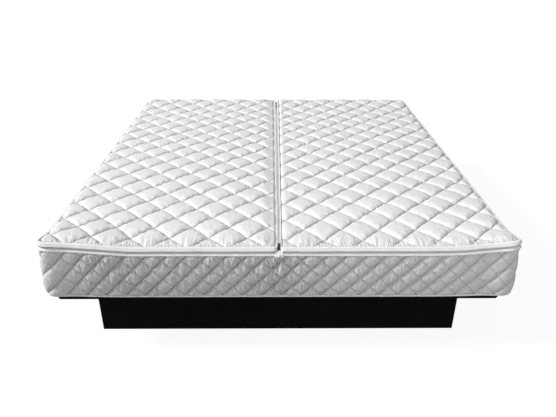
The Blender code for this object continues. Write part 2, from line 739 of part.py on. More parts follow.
def make_base_cloth():
    """Build the cloth that closes the cover underneath, inside the piping."""
    base, normal = bed_rim(SIDE_PLACE_SHARES, CORNER_STEPS)
    outline = rim_line(base, normal, -PIPING_DIAMETER - SEAT_GAP)
    mesh = plate_mesh("base_cloth", outline, MATTRESS_BOTTOM, BASE_CLOTH_TOP)
    add_object("base_cloth", mesh, FINISH["base_cloth"], (0, 0, MATTRESS_BOTTOM))


def make_foam():
    """Build the four foam rails with sloping inner faces and the wedge between the water cores."""
    x, y = FOAM_HALF_WIDTH, FOAM_HALF_LENGTH
    in_top, in_low = FOAM_TOP_WIDTH, FOAM_BOTTOM_WIDTH
    for name, way in (("foam_rail_left", -1), ("foam_rail_right", 1)):
        points = []
        for end in (-y, y):
            points += [(way * x, end, FOAM_BOTTOM), (way * (x - in_low), end, FOAM_BOTTOM)]
            points += [(way * x, end, FOAM_TOP), (way * (x - in_top), end, FOAM_TOP)]
        mesh = hull_mesh(name, points)
        round_upright_edges(mesh, CORNER_RADIUS, lambda point: abs(point.x) > x - in_top / 2)
        add_object(name, mesh, FINISH["foam"], (way * x, 0, FOAM_BOTTOM))
    low_x, top_x = x - in_low - SEAT_GAP, x - in_top - SEAT_GAP
    for name, way in (("foam_rail_foot", -1), ("foam_rail_head", 1)):
        points = []
        for side in (-1, 1):
            points += [(side * low_x, way * y, FOAM_BOTTOM), (side * low_x, way * (y - in_low), FOAM_BOTTOM)]
            points += [(side * top_x, way * y, FOAM_TOP), (side * top_x, way * (y - in_top), FOAM_TOP)]
        add_object(name, hull_mesh(name, points), FINISH["foam"], (0, way * y, FOAM_BOTTOM))

    bottom = LINER_FLOOR_TOP + SEAT_GAP
    points = []
    for end in (-1, 1):
        for height, half in ((bottom, DIVIDER_BOTTOM_WIDTH / 2), (CORE_TOP, DIVIDER_TOP_WIDTH / 2)):
            reach = liner_inside(height)[1] - SEAT_GAP
            points += [(-half, end * reach, height), (half, end * reach, height)]
    add_object("foam_divider", hull_mesh("foam_divider", points), FINISH["divider"], (0, 0, bottom))


def round_upright_edges(mesh, radius, chosen):
    """Round the upright edges whose ends pass the test, in four steps."""
    bm = bmesh.new()
    bm.from_mesh(mesh)
    edges = []
    for edge in bm.edges:
        first, second = edge.verts
        upright = abs(first.co.z - second.co.z) > radius
        corner = len(edge.link_faces) == 2 and edge.calc_face_angle() > math.radians(45)
        if upright and corner and chosen(first.co) and chosen(second.co):
            edges.append(edge)
    bmesh.ops.bevel(bm, geom=edges, offset=radius, segments=4, profile=0.5, affect="EDGES")
    bmesh.ops.recalc_face_normals(bm, faces=bm.faces[:])
    bm.to_mesh(mesh)
    bm.free()


def foam_inside(height):
    """Return the half width and half length between the foam rails at a height."""
    share = (height - FOAM_BOTTOM) / (FOAM_TOP - FOAM_BOTTOM)
    width = FOAM_BOTTOM_WIDTH + share * (FOAM_TOP_WIDTH - FOAM_BOTTOM_WIDTH)
    return FOAM_HALF_WIDTH - width, FOAM_HALF_LENGTH - width


def liner_inside(height):
    """Return the half width and half length between the liner's walls at a height."""
    x, y = foam_inside(height)
    wall = SEAT_GAP + 2 * LINER_THICKNESS
    return x - wall, y - wall


def make_insulation():
    """Build the insulating sheet under the liner, with pockets for the heaters and their glands."""
    x, y = foam_inside(FOAM_BOTTOM)
    x, y = x - SEAT_GAP, y - SEAT_GAP
    mesh = box_mesh("bottom_insulation", (-x, -y, FOAM_BOTTOM), (x, y, INSULATION_TOP))
    sheet = add_object("bottom_insulation", mesh, FINISH["insulation"], (0, 0, FOAM_BOTTOM))
    for side in ("left", "right"):
        way = -1 if side == "left" else 1
        centre_x, low_y, high_y = heater_span(way)
        half = HEATER_WIDTH / 2 + SEAT_GAP
        floor = INSULATION_TOP - HEATER_THICKNESS - SEAT_GAP
        roof = INSULATION_TOP + CUT_OVERRUN
        mesh = box_mesh(
            f"heater_pocket_{side}", (centre_x - half, low_y - SEAT_GAP, floor),
            (centre_x + half, high_y + SEAT_GAP, roof),
        )
        cut(sheet, add_cutter(f"heater_pocket_{side}", mesh))
        half = GLAND_WIDTH / 2 + SEAT_GAP
        floor = INSULATION_TOP - GLAND_HEIGHT - SEAT_GAP
        end = high_y + GLAND_LENGTH / 2
        mesh = box_mesh(
            f"gland_pocket_{side}", (centre_x - half, end - GLAND_LENGTH - SEAT_GAP, floor),
            (centre_x + half, end + SEAT_GAP, roof),
        )
        cut(sheet, add_cutter(f"gland_pocket_{side}", mesh))
        half = CORD_CHANNEL_WIDTH / 2
        mesh = box_mesh(
            f"cord_channel_{side}", (centre_x - half, end - CUT_OVERRUN, floor),
            (centre_x + half, y + CUT_OVERRUN, roof),
        )
        cut(sheet, add_cutter(f"cord_channel_{side}", mesh))


def heater_span(way):
    """Return a heater's middle X and its lowest and highest Y."""
    inner = DIVIDER_BOTTOM_WIDTH / 2
    outer = foam_inside(FOAM_BOTTOM)[0]
    low_y = HEATER_TOWARDS_HEAD - HEATER_LENGTH / 2
    return way * (inner + outer) / 2, low_y, low_y + HEATER_LENGTH


def make_heaters():
    """Build the two flat heaters, each in one piece with the gland that its cord would leave."""
    for side in ("left", "right"):
        way = -1 if side == "left" else 1
        centre_x, low_y, high_y = heater_span(way)
        half = HEATER_WIDTH / 2
        low = INSULATION_TOP - HEATER_THICKNESS
        name = f"heater_{side}"
        mesh = box_mesh(name, (centre_x - half, low_y, low), (centre_x + half, high_y, INSULATION_TOP))
        round_flat_corners(mesh, HEATER_CORNER)
        heater = add_object(name, mesh, FINISH["heater"], (centre_x, (low_y + high_y) / 2, low))
        half = GLAND_WIDTH / 2
        end = high_y + GLAND_LENGTH / 2
        base, top = INSULATION_TOP - GLAND_HEIGHT, INSULATION_TOP
        mesh = box_mesh(
            name + "_gland", (centre_x - half, end - GLAND_LENGTH, base), (centre_x + half, end, top)
        )
        cut(heater, add_cutter(name + "_gland", mesh), "UNION")
        mesh = cylinder_mesh(
            name + "_bore", GLAND_BORE_RADIUS, end - GLAND_BORE_DEPTH, end + CUT_OVERRUN,
            (centre_x, (base + top) / 2), SCREW_SEGMENTS, "Y",
        )
        cut(heater, add_cutter(name + "_bore", mesh))


def round_flat_corners(mesh, radius):
    """Round the four upright edges of a thin plate."""
    bm = bmesh.new()
    bm.from_mesh(mesh)
    edges = [edge for edge in bm.edges if (edge.verts[0].co - edge.verts[1].co).xy.length < SEAT_GAP]
    bmesh.ops.bevel(bm, geom=edges, offset=radius, segments=4, profile=0.5, affect="EDGES")
    bm.to_mesh(mesh)
    bm.free()


def make_liner():
    """Build the safety liner: a thin tray against the foam with a lip that lies on the rails."""
    floor_x, floor_y = (value - SEAT_GAP for value in foam_inside(LINER_BOTTOM))
    top_x, top_y = (value - SEAT_GAP for value in foam_inside(FOAM_TOP))
    bm = bmesh.new()
    bmesh.ops.create_cube(bm, size=2)
    for vert in bm.verts:
        top = vert.co.z > 0
        x, y = (top_x, top_y) if top else (floor_x, floor_y)
        vert.co = (vert.co.x * x, vert.co.y * y, LIP_BOTTOM if top else LINER_BOTTOM)
    lid_level = LINER_BOTTOM + LINER_THICKNESS
    lid = [face for face in bm.faces if min(vert.co.z for vert in face.verts) > lid_level]
    bmesh.ops.delete(bm, geom=lid, context="FACES_ONLY")
    rim = [edge for edge in bm.edges if edge.is_boundary]
    pulled = bmesh.ops.extrude_edge_only(bm, edges=rim)
    for item in pulled["geom"]:
        if isinstance(item, bmesh.types.BMVert):
            item.co.x += math.copysign(LINER_LIP_WIDTH, item.co.x)
            item.co.y += math.copysign(LINER_LIP_WIDTH, item.co.y)
    bmesh.ops.recalc_face_normals(bm, faces=bm.faces[:])
    floor = min(bm.faces, key=lambda face: face.calc_center_median().z)
    if floor.normal.z > 0:
        bmesh.ops.reverse_faces(bm, faces=bm.faces[:])
    mesh = bpy.data.meshes.new("safety_liner")
    bm.to_mesh(mesh)
    bm.free()
    liner = add_object("safety_liner", mesh, FINISH["liner"], (0, 0, LINER_BOTTOM))
    modifier = liner.modifiers.new("thickness", "SOLIDIFY")
    modifier.thickness = LINER_THICKNESS
    modifier.offset = -1
    modifier.solidify_mode = "NON_MANIFOLD"
    modifier.nonmanifold_thickness_mode = "CONSTRAINTS"


def core_span(way, height, inset):
    """Return the low X, high X and half length of one water core at a height, drawn in by an inset."""
    outer, end = liner_inside(height)
    share = (height - CORE_BOTTOM) / (CORE_TOP - CORE_BOTTOM)
    inner = (DIVIDER_BOTTOM_WIDTH + share * (DIVIDER_TOP_WIDTH - DIVIDER_BOTTOM_WIDTH)) / 2
    near, far = inner + CORE_SIDE_GAP + inset, outer - CORE_SIDE_GAP - inset
    return *sorted((way * near, way * far)), end - CORE_SIDE_GAP - inset


def rounded_rectangle(low_x, high_x, reach, radius, steps=4):
    """Return the plan points of a rectangle with round corners, which reaches as far to -Y as to +Y."""
    points = []
    for turn, (x, y) in enumerate(
        ((high_x - radius, reach - radius), (low_x + radius, reach - radius),
         (low_x + radius, radius - reach), (high_x - radius, radius - reach))
    ):
        for step in range(steps + 1):
            angle = (turn + step / steps) * math.pi / 2
            points.append((x + radius * math.cos(angle), y + radius * math.sin(angle)))
    return points


def core_solid(name, way, low, high, inset):
    """Return the solid mesh of one water core's room between two levels, with rounded corners."""
    loops = []
    for level in (low, high):
        outline = rounded_rectangle(*core_span(way, level, inset), CORE_CORNER_RADIUS - inset)
        loops.append([(x, y, level) for x, y in outline])
    return skin(name, loops, False)


def make_cores():
    """Build each water core: vinyl skin, fleece, water and valve, which sits in a dimple of the skin."""
    for side in ("left", "right"):
        way = -1 if side == "left" else 1
        low_x, high_x, reach = core_span(way, CORE_TOP, 0)
        valve = ((low_x + high_x) / 2, VALVE_FROM_FOOT - reach)
        dimple_floor = CORE_TOP - DIMPLE_DEPTH
        skin_name = f"vinyl_core_{side}"
        mesh = core_solid(skin_name, way, CORE_BOTTOM, CORE_TOP, 0)
        vinyl = add_object(skin_name, mesh, FINISH["vinyl"], (valve[0], 0, CORE_BOTTOM))
        roof = CORE_TOP + CUT_OVERRUN
        mesh = cylinder_mesh(f"dimple_{side}", DIMPLE_RADIUS, dimple_floor, roof, valve)
        cut(vinyl, add_cutter(f"dimple_{side}", mesh))
        room_low, room_high = CORE_BOTTOM + VINYL_THICKNESS, CORE_TOP - VINYL_THICKNESS
        mesh = core_solid(f"core_room_{side}", way, room_low, room_high, VINYL_THICKNESS)
        room = add_cutter(f"core_room_{side}", mesh)
        grown, sunk = DIMPLE_RADIUS + VINYL_THICKNESS, dimple_floor - VINYL_THICKNESS
        mesh = cylinder_mesh(f"dimple_wall_{side}", grown, sunk, roof, valve)
        cut(room, add_cutter(f"dimple_wall_{side}", mesh))
        cut(vinyl, room)
        hole = NECK_OUTER_RADIUS + SEAT_GAP
        high = dimple_floor + CUT_OVERRUN
        mesh = cylinder_mesh(f"valve_hole_{side}", hole, sunk - CUT_OVERRUN, high, valve)
        cut(vinyl, add_cutter(f"valve_hole_{side}", mesh))

        fleece_low = room_low + SEAT_GAP
        fleece_top = fleece_low + FLEECE_THICKNESS
        name = f"fleece_mat_{side}"
        mesh = core_solid(name, way, fleece_low, fleece_top, FLEECE_MARGIN)
        add_object(name, mesh, FINISH["fleece"], (valve[0], 0, fleece_low))
        water_low, water_high = fleece_top + SEAT_GAP, room_high - SEAT_GAP
        name = f"water_{side}"
        mesh = core_solid(name, way, water_low, water_high, VINYL_THICKNESS + SEAT_GAP)
        water = add_object(name, mesh, FINISH["water"], (valve[0], 0, water_low))
        sunk_water = sunk - SEAT_GAP - NECK_TAIL
        mesh = cylinder_mesh(f"water_dimple_{side}", grown + SEAT_GAP, sunk_water, roof, valve)
        cut(water, add_cutter(f"water_dimple_{side}", mesh))
        make_valve(side, (*valve, dimple_floor))


def make_valve(side, place):
    """Build one valve: collar with its neck, stopper in the neck and cap over both."""
    flange_low, flange_top = SEAT_GAP, SEAT_GAP + COLLAR_FLANGE_THICKNESS
    neck_top = flange_top + NECK_HEIGHT
    tail = -VINYL_THICKNESS - NECK_TAIL / 2
    collar = [
        (NECK_OUTER_RADIUS, neck_top), (NECK_OUTER_RADIUS, flange_top), (COLLAR_FLANGE_RADIUS, flange_top),
        (COLLAR_FLANGE_RADIUS, flange_low), (NECK_OUTER_RADIUS, flange_low), (NECK_OUTER_RADIUS, tail),
        (NECK_BORE_RADIUS, tail), (NECK_BORE_RADIUS, neck_top),
    ]
    turned(f"valve_collar_{side}", collar, place, FINISH["valve"], closed=True)
    stopper = NECK_BORE_RADIUS - PLUG_CLEARANCE
    plug_low = neck_top + SEAT_GAP
    plug_top = plug_low + PLUG_FLANGE_THICKNESS
    plug = [
        (0, plug_top), (NECK_OUTER_RADIUS, plug_top), (NECK_OUTER_RADIUS, plug_low), (stopper, plug_low),
        (stopper, neck_top - PLUG_DEPTH), (stopper - PLUG_WALL, neck_top - PLUG_DEPTH),
        (stopper - PLUG_WALL, plug_low), (0, plug_low),
    ]
    turned(f"valve_plug_{side}", plug, place, FINISH["valve"])
    inner = NECK_OUTER_RADIUS + CAP_CLEARANCE
    outer = inner + CAP_WALL
    cap_low, cap_roof = flange_top + SEAT_GAP, plug_top + SEAT_GAP
    cap_top = cap_roof + CAP_TOP_THICKNESS
    bm = bmesh.new()
    rings = []
    for radius, height in (
        (outer - CAP_WALL / 2, cap_top), (outer, cap_top - CAP_TOP_THICKNESS / 2), (outer, cap_low),
        (inner, cap_low), (inner, cap_roof),
    ):
        ring = []
        for step in range(2 * CAP_RIB_COUNT):
            angle = math.pi * step / CAP_RIB_COUNT
            ribbed = radius + (CAP_RIB_DEPTH if step % 2 and radius == outer else 0)
            ring.append(bm.verts.new((ribbed * math.cos(angle), ribbed * math.sin(angle), height)))
        rings.append(ring)
    for first, second in zip(rings, rings[1:]):
        for i in range(len(first)):
            j = (i + 1) % len(first)
            bm.faces.new((first[i], second[i], second[j], first[j]))
    bm.faces.new(rings[0])
    bm.faces.new(rings[-1])
    bmesh.ops.translate(bm, vec=place, verts=bm.verts)
    add_object(f"valve_cap_{side}", mesh_from(bm, f"valve_cap_{side}"), FINISH["cap"], place)


def quilt_height(points):
    """Return how puffy the top is at plan points, from 0 on a seam's crossing to 1 in a cell's middle."""
    x = (np.abs(points[:, 0]) - PAD_PHASE_X) / PAD_PITCH_X
    y = (points[:, 1] - PAD_PHASE_Y) / PAD_PITCH_Y
    return np.sqrt(np.abs(np.sin(math.pi * (x + y)) * np.sin(math.pi * (x - y))))


def make_pad(side, parent):
    """Build one quilted top pad: a grid of diamonds trimmed to the pad's outline, raised and closed below."""
    way = -1 if side == "left" else 1
    base, normal, radii = pad_rim(way)
    inset = BINDING_WIDTH + SEAT_GAP
    outline = base + (radii - inset)[:, None] * normal
    low, high = outline.min(0), outline.max(0)
    phase = np.array([way * PAD_PHASE_X, PAD_PHASE_Y])
    cells = int(max((high - low) / (PAD_PITCH_X, PAD_PITCH_Y))) + 3
    bm = bmesh.new()
    bmesh.ops.create_grid(bm, x_segments=2 * cells, y_segments=2 * cells, size=cells)
    middle = np.round(((low + high) / 2 - phase) / (PAD_PITCH_X, PAD_PITCH_Y))
    for vert in bm.verts:
        across, along = vert.co.x, vert.co.y
        x = phase[0] + (middle[0] + (across + along) / 2) * PAD_PITCH_X
        y = phase[1] + (middle[1] + (along - across) / 2) * PAD_PITCH_Y
        vert.co = (x, y, 0)
    for first, second in zip(outline, np.roll(outline, -1, 0)):
        along = second - first
        bmesh.ops.bisect_plane(
            bm, geom=bm.verts[:] + bm.edges[:] + bm.faces[:], dist=SEAT_GAP / 10,
            plane_co=(*first, 0), plane_no=Vector((along[1], -along[0], 0)).normalized(), clear_outer=True,
        )
    bmesh.ops.remove_doubles(bm, verts=bm.verts[:], dist=SEAT_GAP)
    least_area = WHOLE_CELL_SHARE * PAD_PITCH_X * PAD_PITCH_Y / 2
    whole = [face for face in bm.faces if len(face.verts) == 4 and face.calc_area() > least_area]
    trimmed = [face for face in bm.faces if face not in whole]
    bmesh.ops.poke(bm, faces=trimmed)
    bmesh.ops.inset_individual(bm, faces=whole, thickness=PAD_CELL_INSET, use_even_offset=True)
    bmesh.ops.poke(bm, faces=whole)

    plan = np.array([vert.co.xy[:] for vert in bm.verts])
    starts, ends = outline, np.roll(outline, -1, 0)
    ways = (ends - starts) / np.linalg.norm(ends - starts, axis=1, keepdims=True)
    from_edge = np.min(
        (plan[:, None, 1] - starts[None, :, 1]) * ways[None, :, 0]
        - (plan[:, None, 0] - starts[None, :, 0]) * ways[None, :, 1], axis=1,
    )
    inward = np.clip(from_edge / PAD_EDGE_ROLL, 0, 1)
    rolled = np.sqrt(1 - (1 - inward) ** 2)
    crown = PAD_CROWN * np.clip(from_edge / (HALF_WIDTH / 2), 0, 1)
    height = PAD_VALLEY - PAD_EDGE_DROP * (1 - rolled) + crown + lift(plan)
    height += PAD_PUFF * quilt_height(plan) * rolled
    for vert, z in zip(bm.verts, height):
        vert.co.z = z
    rim = [edge for edge in bm.edges if edge.is_boundary]
    pulled = bmesh.ops.extrude_edge_only(bm, edges=rim)
    lower = [item for item in pulled["geom"] if isinstance(item, bmesh.types.BMVert)]
    rises = lift(np.array([vert.co.xy[:] for vert in lower]))
    for vert, rise in zip(lower, rises):
        vert.co.z = PAD_BOTTOM + rise
    bmesh.ops.holes_fill(bm, edges=[edge for edge in bm.edges if edge.is_boundary])
    mesh = mesh_from(bm, f"top_pad_{side}")
    add_object(f"top_pad_{side}", mesh, FINISH["quilt"], parent.location, parent)

    section = rounded_section(0, -BINDING_WIDTH, PAD_BINDING_BOTTOM, PAD_BINDING_TOP, BINDING_ROUND)
    mesh = strip_mesh(f"pad_binding_{side}", base, normal, radii, section, True)
    add_object(f"pad_binding_{side}", mesh, FINISH["tape"], parent.location, parent)


def coil_section(bottom):
    """Return the square section of a zip coil that is set back from the binding's face."""
    top = bottom + COIL_HEIGHT
    return [(-COIL_RECESS, bottom), (-COIL_RECESS, top), (-COIL_BACK, top), (-COIL_BACK, bottom)]


def make_perimeter_zip(covers):
    """Build the lower coil round the border and an upper coil under each pad's binding."""
    base, normal = bed_rim(SIDE_PLACE_SHARES, CORNER_STEPS)
    radii = np.full(len(base), CORNER_RADIUS)
    mesh = strip_mesh("perimeter_zip_lower", base, normal, radii, coil_section(LOWER_COIL_BOTTOM), True)
    add_object("perimeter_zip_lower", mesh, FINISH["zip"], (0, 0, LOWER_COIL_BOTTOM))
    keep = base[:, 0] > PERIMETER_COIL_START
    end_y = base[0][1]
    base = np.concatenate([[(PERIMETER_COIL_START, end_y)], base[keep], [(PERIMETER_COIL_START, -end_y)]])
    normal = np.concatenate([[(0, -1)], normal[keep], [(0, 1)]])
    radii = np.full(len(base), CORNER_RADIUS)
    for side, parent in covers.items():
        flip = (-1, 1) if side == "left" else (1, 1)
        name = f"perimeter_zip_upper_{side}"
        section = coil_section(UPPER_COIL_BOTTOM)
        mesh = strip_mesh(name, base * flip, normal * flip, radii, section, False)
        add_object(name, mesh, FINISH["zip"], parent.location, parent)


def make_centre_zip(covers):
    """Build the two coils of the lengthwise zip between the pads."""
    near, far = COIL_SPLIT / 2, COIL_SPLIT / 2 + COIL_HEIGHT
    low_y, high_y = -FRONT_FACE + CENTRE_COIL_FOOT_END, FRONT_FACE - CENTRE_COIL_HEAD_END
    for side, parent in covers.items():
        way = -1 if side == "left" else 1
        low_x, high_x = sorted((way * near, way * far))
        name = f"centre_zip_{side}"
        mesh = box_mesh(name, (low_x, low_y, CENTRE_COIL_TOP - COIL_DEPTH), (high_x, high_y, CENTRE_COIL_TOP))
        add_object(name, mesh, FINISH["zip"], parent.location, parent)


def make_slider(name, place, turn, half_height, tilt_deg, parent):
    """Build one slider and its pull.

    They are modelled with X along the travel, Y across the zip and Z out of it, the middle of the coil at
    the origin, and then turned into place. The slider is two plates round a post that runs between the
    coils. The pull hangs on a pin above the plate's rear end, lies towards -X at rest, and its object's
    origin is on that pin.
    """
    half_coil = COIL_DEPTH / 2 + SLIDER_RUN_CLEARANCE
    half_length, post = SLIDER_LENGTH / 2, COIL_SPLIT / 2 - SLIDER_RUN_CLEARANCE
    plate_top = half_coil + SLIDER_PLATE
    pin_height = plate_top + PULL_EYE_RADIUS + SLIDER_RUN_CLEARANCE
    overlap = SLIDER_PLATE / 2
    mesh = box_mesh(name, (-half_length, -half_height, half_coil), (half_length, half_height, plate_top))
    slider = add_object(name, mesh, FINISH["slider"])
    half_post = SLIDER_POST_LENGTH / 2
    extras = {
        "back": ((-half_length, -half_height, -plate_top), (half_length, half_height, -half_coil)),
        "post": ((-half_post, -post, -half_coil - overlap), (half_post, post, half_coil + overlap)),
    }
    lug_near = PULL_WIDTH / 2 + SLIDER_RUN_CLEARANCE
    for way, label in ((-1, "lug_low"), (1, "lug_high")):
        low, high = sorted((way * lug_near, way * (lug_near + LUG_THICKNESS)))
        extras[label] = (
            (-half_length - LUG_LENGTH / 2, low, plate_top - overlap),
            (-half_length + LUG_LENGTH / 2, high, pin_height + PULL_EYE_RADIUS),
        )
    matrix = Matrix.Translation(Vector(place)) @ turn.to_4x4()
    for label, (low, high) in extras.items():
        cutter = add_cutter(f"{name}_{label}", box_mesh(f"{name}_{label}", low, high))
        cutter.matrix_world = matrix
        cut(slider, cutter, "UNION")
    pin = cylinder_mesh(
        f"{name}_pin", PIN_RADIUS, -lug_near - LUG_THICKNESS / 2, lug_near + LUG_THICKNESS / 2,
        (-half_length, pin_height), SCREW_SEGMENTS, "Y",
    )
    cutter = add_cutter(f"{name}_pin", pin)
    cutter.matrix_world = matrix
    cut(slider, cutter, "UNION")
    slider.location = Vector(place) - (parent_place(parent) if parent else Vector())
    slider.rotation_euler = turn.to_euler()
    slider.parent = parent

    pull_name = name.replace("slider", "pull")
    pull_mesh = cylinder_mesh(
        pull_name, PULL_EYE_RADIUS, -PULL_WIDTH / 2, PULL_WIDTH / 2, (0, 0), SCREW_SEGMENTS, "Y"
    )
    pull = add_object(pull_name, pull_mesh, FINISH["slider"])
    half, half_width = PULL_THICKNESS / 2, PULL_WIDTH / 2
    low, high = (-PULL_LENGTH, -half_width, -half), (-PULL_EYE_RADIUS / 2, half_width, half)
    blade = box_mesh(f"{pull_name}_blade", low, high)
    bore = cylinder_mesh(
        f"{pull_name}_bore", PULL_BORE_RADIUS, -PULL_WIDTH, PULL_WIDTH, (0, 0), SCREW_SEGMENTS, "Y"
    )
    tip, half_hole = -PULL_LENGTH + PULL_HOLE_WIDTH, PULL_HOLE_WIDTH / 2
    low, high = (tip, -half_hole, -PULL_THICKNESS), (tip + PULL_HOLE_LENGTH, half_hole, PULL_THICKNESS)
    hole = box_mesh(f"{pull_name}_hole", low, high)
    tilt = turn @ Matrix.Rotation(math.radians(tilt_deg), 3, "Y").inverted()
    pin_place = matrix @ Vector((-half_length, 0, pin_height))
    pull_matrix = Matrix.Translation(pin_place) @ tilt.to_4x4()
    for mesh, operation in ((blade, "UNION"), (bore, "DIFFERENCE"), (hole, "DIFFERENCE")):
        cutter = add_cutter(mesh.name, mesh)
        cutter.matrix_world = pull_matrix
        cut(pull, cutter, operation)
    pull.location = pin_place - (parent_place(parent) if parent else Vector())
    pull.rotation_euler = tilt.to_euler()
    pull.parent = parent


def columns(*vectors):
    """Return the turn that takes X, Y and Z to three given directions."""
    return Matrix(vectors).transposed()


def make_sliders(covers):
    """Build the three sliders in their parked places by the middle of the foot end."""
    coil_middle = (LOWER_COIL_BOTTOM + UPPER_COIL_BOTTOM + COIL_HEIGHT) / 2
    half_height = COIL_SPLIT / 2 + COIL_HEIGHT
    face = -FRONT_FACE + COIL_RECESS + COIL_DEPTH / 2
    for side, way in (("left", -1), ("right", 1)):
        place = (way * SLIDER_PARK_DISTANCE, face, coil_middle)
        turn = columns((way, 0, 0), (0, 0, way), (0, -1, 0))
        make_slider(f"perimeter_slider_{side}", place, turn, half_height, 0, None)
    park_y = -FRONT_FACE + CENTRE_COIL_FOOT_END - SLIDER_LENGTH / 2 - SEAT_GAP
    place = (0, park_y, CENTRE_COIL_TOP - COIL_DEPTH / 2)
    turn = columns((0, 1, 0), (-1, 0, 0), (0, 0, 1))
    make_slider("centre_slider", place, turn, half_height, CENTRE_PULL_TILT_DEG, covers["left"])


def make_waterbed():
    """Build the whole bed from the floor up."""
    make_plinth()
    make_deck()
    make_base_cloth()
    make_border()
    make_foam()
    make_insulation()
    make_heaters()
    make_liner()
    make_cores()
    pad_middle = (PAD_INNER_EDGE + HALF_WIDTH) / 2
    covers = {
        "left": add_empty("cover_left", (-pad_middle, 0, PAD_BOTTOM)),
        "right": add_empty("cover_right", (pad_middle, 0, PAD_BOTTOM)),
    }
    for side, parent in covers.items():
        make_pad(side, parent)
    make_perimeter_zip(covers)
    make_centre_zip(covers)
    make_sliders(covers)


make_waterbed()
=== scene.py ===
"""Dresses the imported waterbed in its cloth, foam, vinyl and boards, and lights it in a plain studio."""

import logging
import math
from dataclasses import dataclass
from enum import Enum

import bmesh
import bpy
import numpy as np
from mathutils import Matrix, Vector

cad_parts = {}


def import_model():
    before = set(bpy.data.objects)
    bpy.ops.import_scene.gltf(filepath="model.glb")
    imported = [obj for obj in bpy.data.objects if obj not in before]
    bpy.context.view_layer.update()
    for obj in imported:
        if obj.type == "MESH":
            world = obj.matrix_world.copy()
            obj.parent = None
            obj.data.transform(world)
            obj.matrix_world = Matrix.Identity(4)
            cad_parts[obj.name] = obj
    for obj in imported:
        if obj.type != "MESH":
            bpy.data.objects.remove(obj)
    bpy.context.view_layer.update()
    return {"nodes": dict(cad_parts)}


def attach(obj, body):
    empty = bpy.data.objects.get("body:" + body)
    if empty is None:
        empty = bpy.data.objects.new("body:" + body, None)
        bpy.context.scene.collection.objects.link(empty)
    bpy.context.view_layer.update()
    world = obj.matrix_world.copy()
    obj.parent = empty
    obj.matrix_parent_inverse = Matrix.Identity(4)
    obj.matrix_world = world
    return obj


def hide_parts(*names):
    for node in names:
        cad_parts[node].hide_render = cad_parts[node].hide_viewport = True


Array = np.ndarray
Piece = bpy.types.Object
Socket = bpy.types.NodeSocket
Pair = tuple[float, float]
Triple = tuple[float, float, float]

LOG = logging.getLogger("waterbed")
MM = 0.001
SEAT_GAP = 0.3 * MM

# Levels of the bed, repeated from the CAD source
BORDER_BOTTOM, BORDER_HEIGHT = 0.2849, 0.184
BORDER_TOP = BORDER_BOTTOM + BORDER_HEIGHT
PAD_BOTTOM = 0.4705
PAD_BINDING_BOTTOM, PAD_BINDING_TOP = 0.4887, 0.4997
BORDER_BINDING_BOTTOM, BORDER_BINDING_TOP = 0.4695, 0.4795
BINDING_WIDTH = 0.009
FOAM_BOTTOM, FOAM_TOP = 0.2799, 0.4689
LINER_BOTTOM, LIP_BOTTOM, LINER_WALL = 0.2902, 0.4692, 0.001
CORE_BOTTOM, CORE_TOP = 0.2915, 0.4702
FRONT_FACE = 1.010


class Part(Enum):
    """A part of the bed on one side of its middle, whose value is the way that it lies."""

    @property
    def label(self) -> str:
        """The word that the part's pieces end in."""
        return self.name.lower()


class Side(Part):
    """A half of the bed, along X."""

    LEFT = -1
    RIGHT = 1


class End(Part):
    """An end of the bed, along Y."""

    FOOT = -1
    HEAD = 1


# ---- numbers along lines and over surfaces


def ease(value: Array, low: float, high: float) -> Array:
    """Return a smooth step: 0 below low, 1 above high, and 3t^2 - 2t^3 of the share t between them.

    Args:
        value: The numbers to step.
        low: Where the step starts.
        high: Where it ends.

    Returns:
        An array of the same shape, from 0 to 1.
    """
    share = np.clip((value - low) / (high - low), 0, 1)
    return share * share * (3 - 2 * share)


def bell(value: Array, width: float) -> Array:
    """Return exp(-(value / width)^2), which is 1 at 0 and fades on both sides."""
    return np.exp(-((value / width) ** 2))


def rolled(share: Array) -> Array:
    """Return the height of a round edge, sqrt(1 - (1 - share)^2), at a share of the way in over it."""
    return np.sqrt(1 - (1 - np.clip(share, 0, 1)) ** 2)


def arc_shift(across: Array, along: Array) -> tuple[Array, Array]:
    """Return how far points past a corner's centre move to turn their square rings into arcs round it.

    A point keeps the larger of its two distances as its radius, and one that isn't past the centre both
    ways stays where it is.

    Args:
        across: Distances past the centre one way.
        along: Distances past it the other way.

    Returns:
        The changes of both distances.
    """
    inside = (across > 0) & (along > 0)
    shrink = np.maximum(across, along) / np.hypot(across, along).clip(1e-9) - 1
    return across * shrink * inside, along * shrink * inside


@dataclass(frozen=True)
class Lattice:
    """Smooth seeded noise: random numbers on a square lattice, eased from one to the next."""

    seed: int
    size: int = 97

    def at(self, x: Array, y: Array) -> Array:
        """Return the noise at plan points in lattice units.

        Args:
            x: First coordinates.
            y: Second coordinates.

        Returns:
            Numbers from -1 to 1, of the same shape.
        """
        table = np.random.default_rng(self.seed).uniform(-1, 1, (self.size, self.size))
        x, y = np.broadcast_arrays(x, y)
        i, j = np.floor(x).astype(int), np.floor(y).astype(int)
        s, t = ease(x - i, 0, 1), ease(y - j, 0, 1)
        i, j, k, m = i % self.size, j % self.size, (i + 1) % self.size, (j + 1) % self.size
        near = table[i, j] * (1 - s) + table[k, j] * s
        far = table[i, m] * (1 - s) + table[k, m] * s
        return near * (1 - t) + far * t

    def folds(self, x: Array, y: Array) -> Array:
        """Return sharp folds, 1 - 2|noise|, from -1 to 1."""
        return 1 - 2 * np.abs(self.at(x, y))


# ---- meshes from arrays


def link(name: str, data: bpy.types.ID) -> Piece:
    """Make an object of some data and link it to the scene."""
    made = bpy.data.objects.new(name, data)
    bpy.context.scene.collection.objects.link(made)
    return made


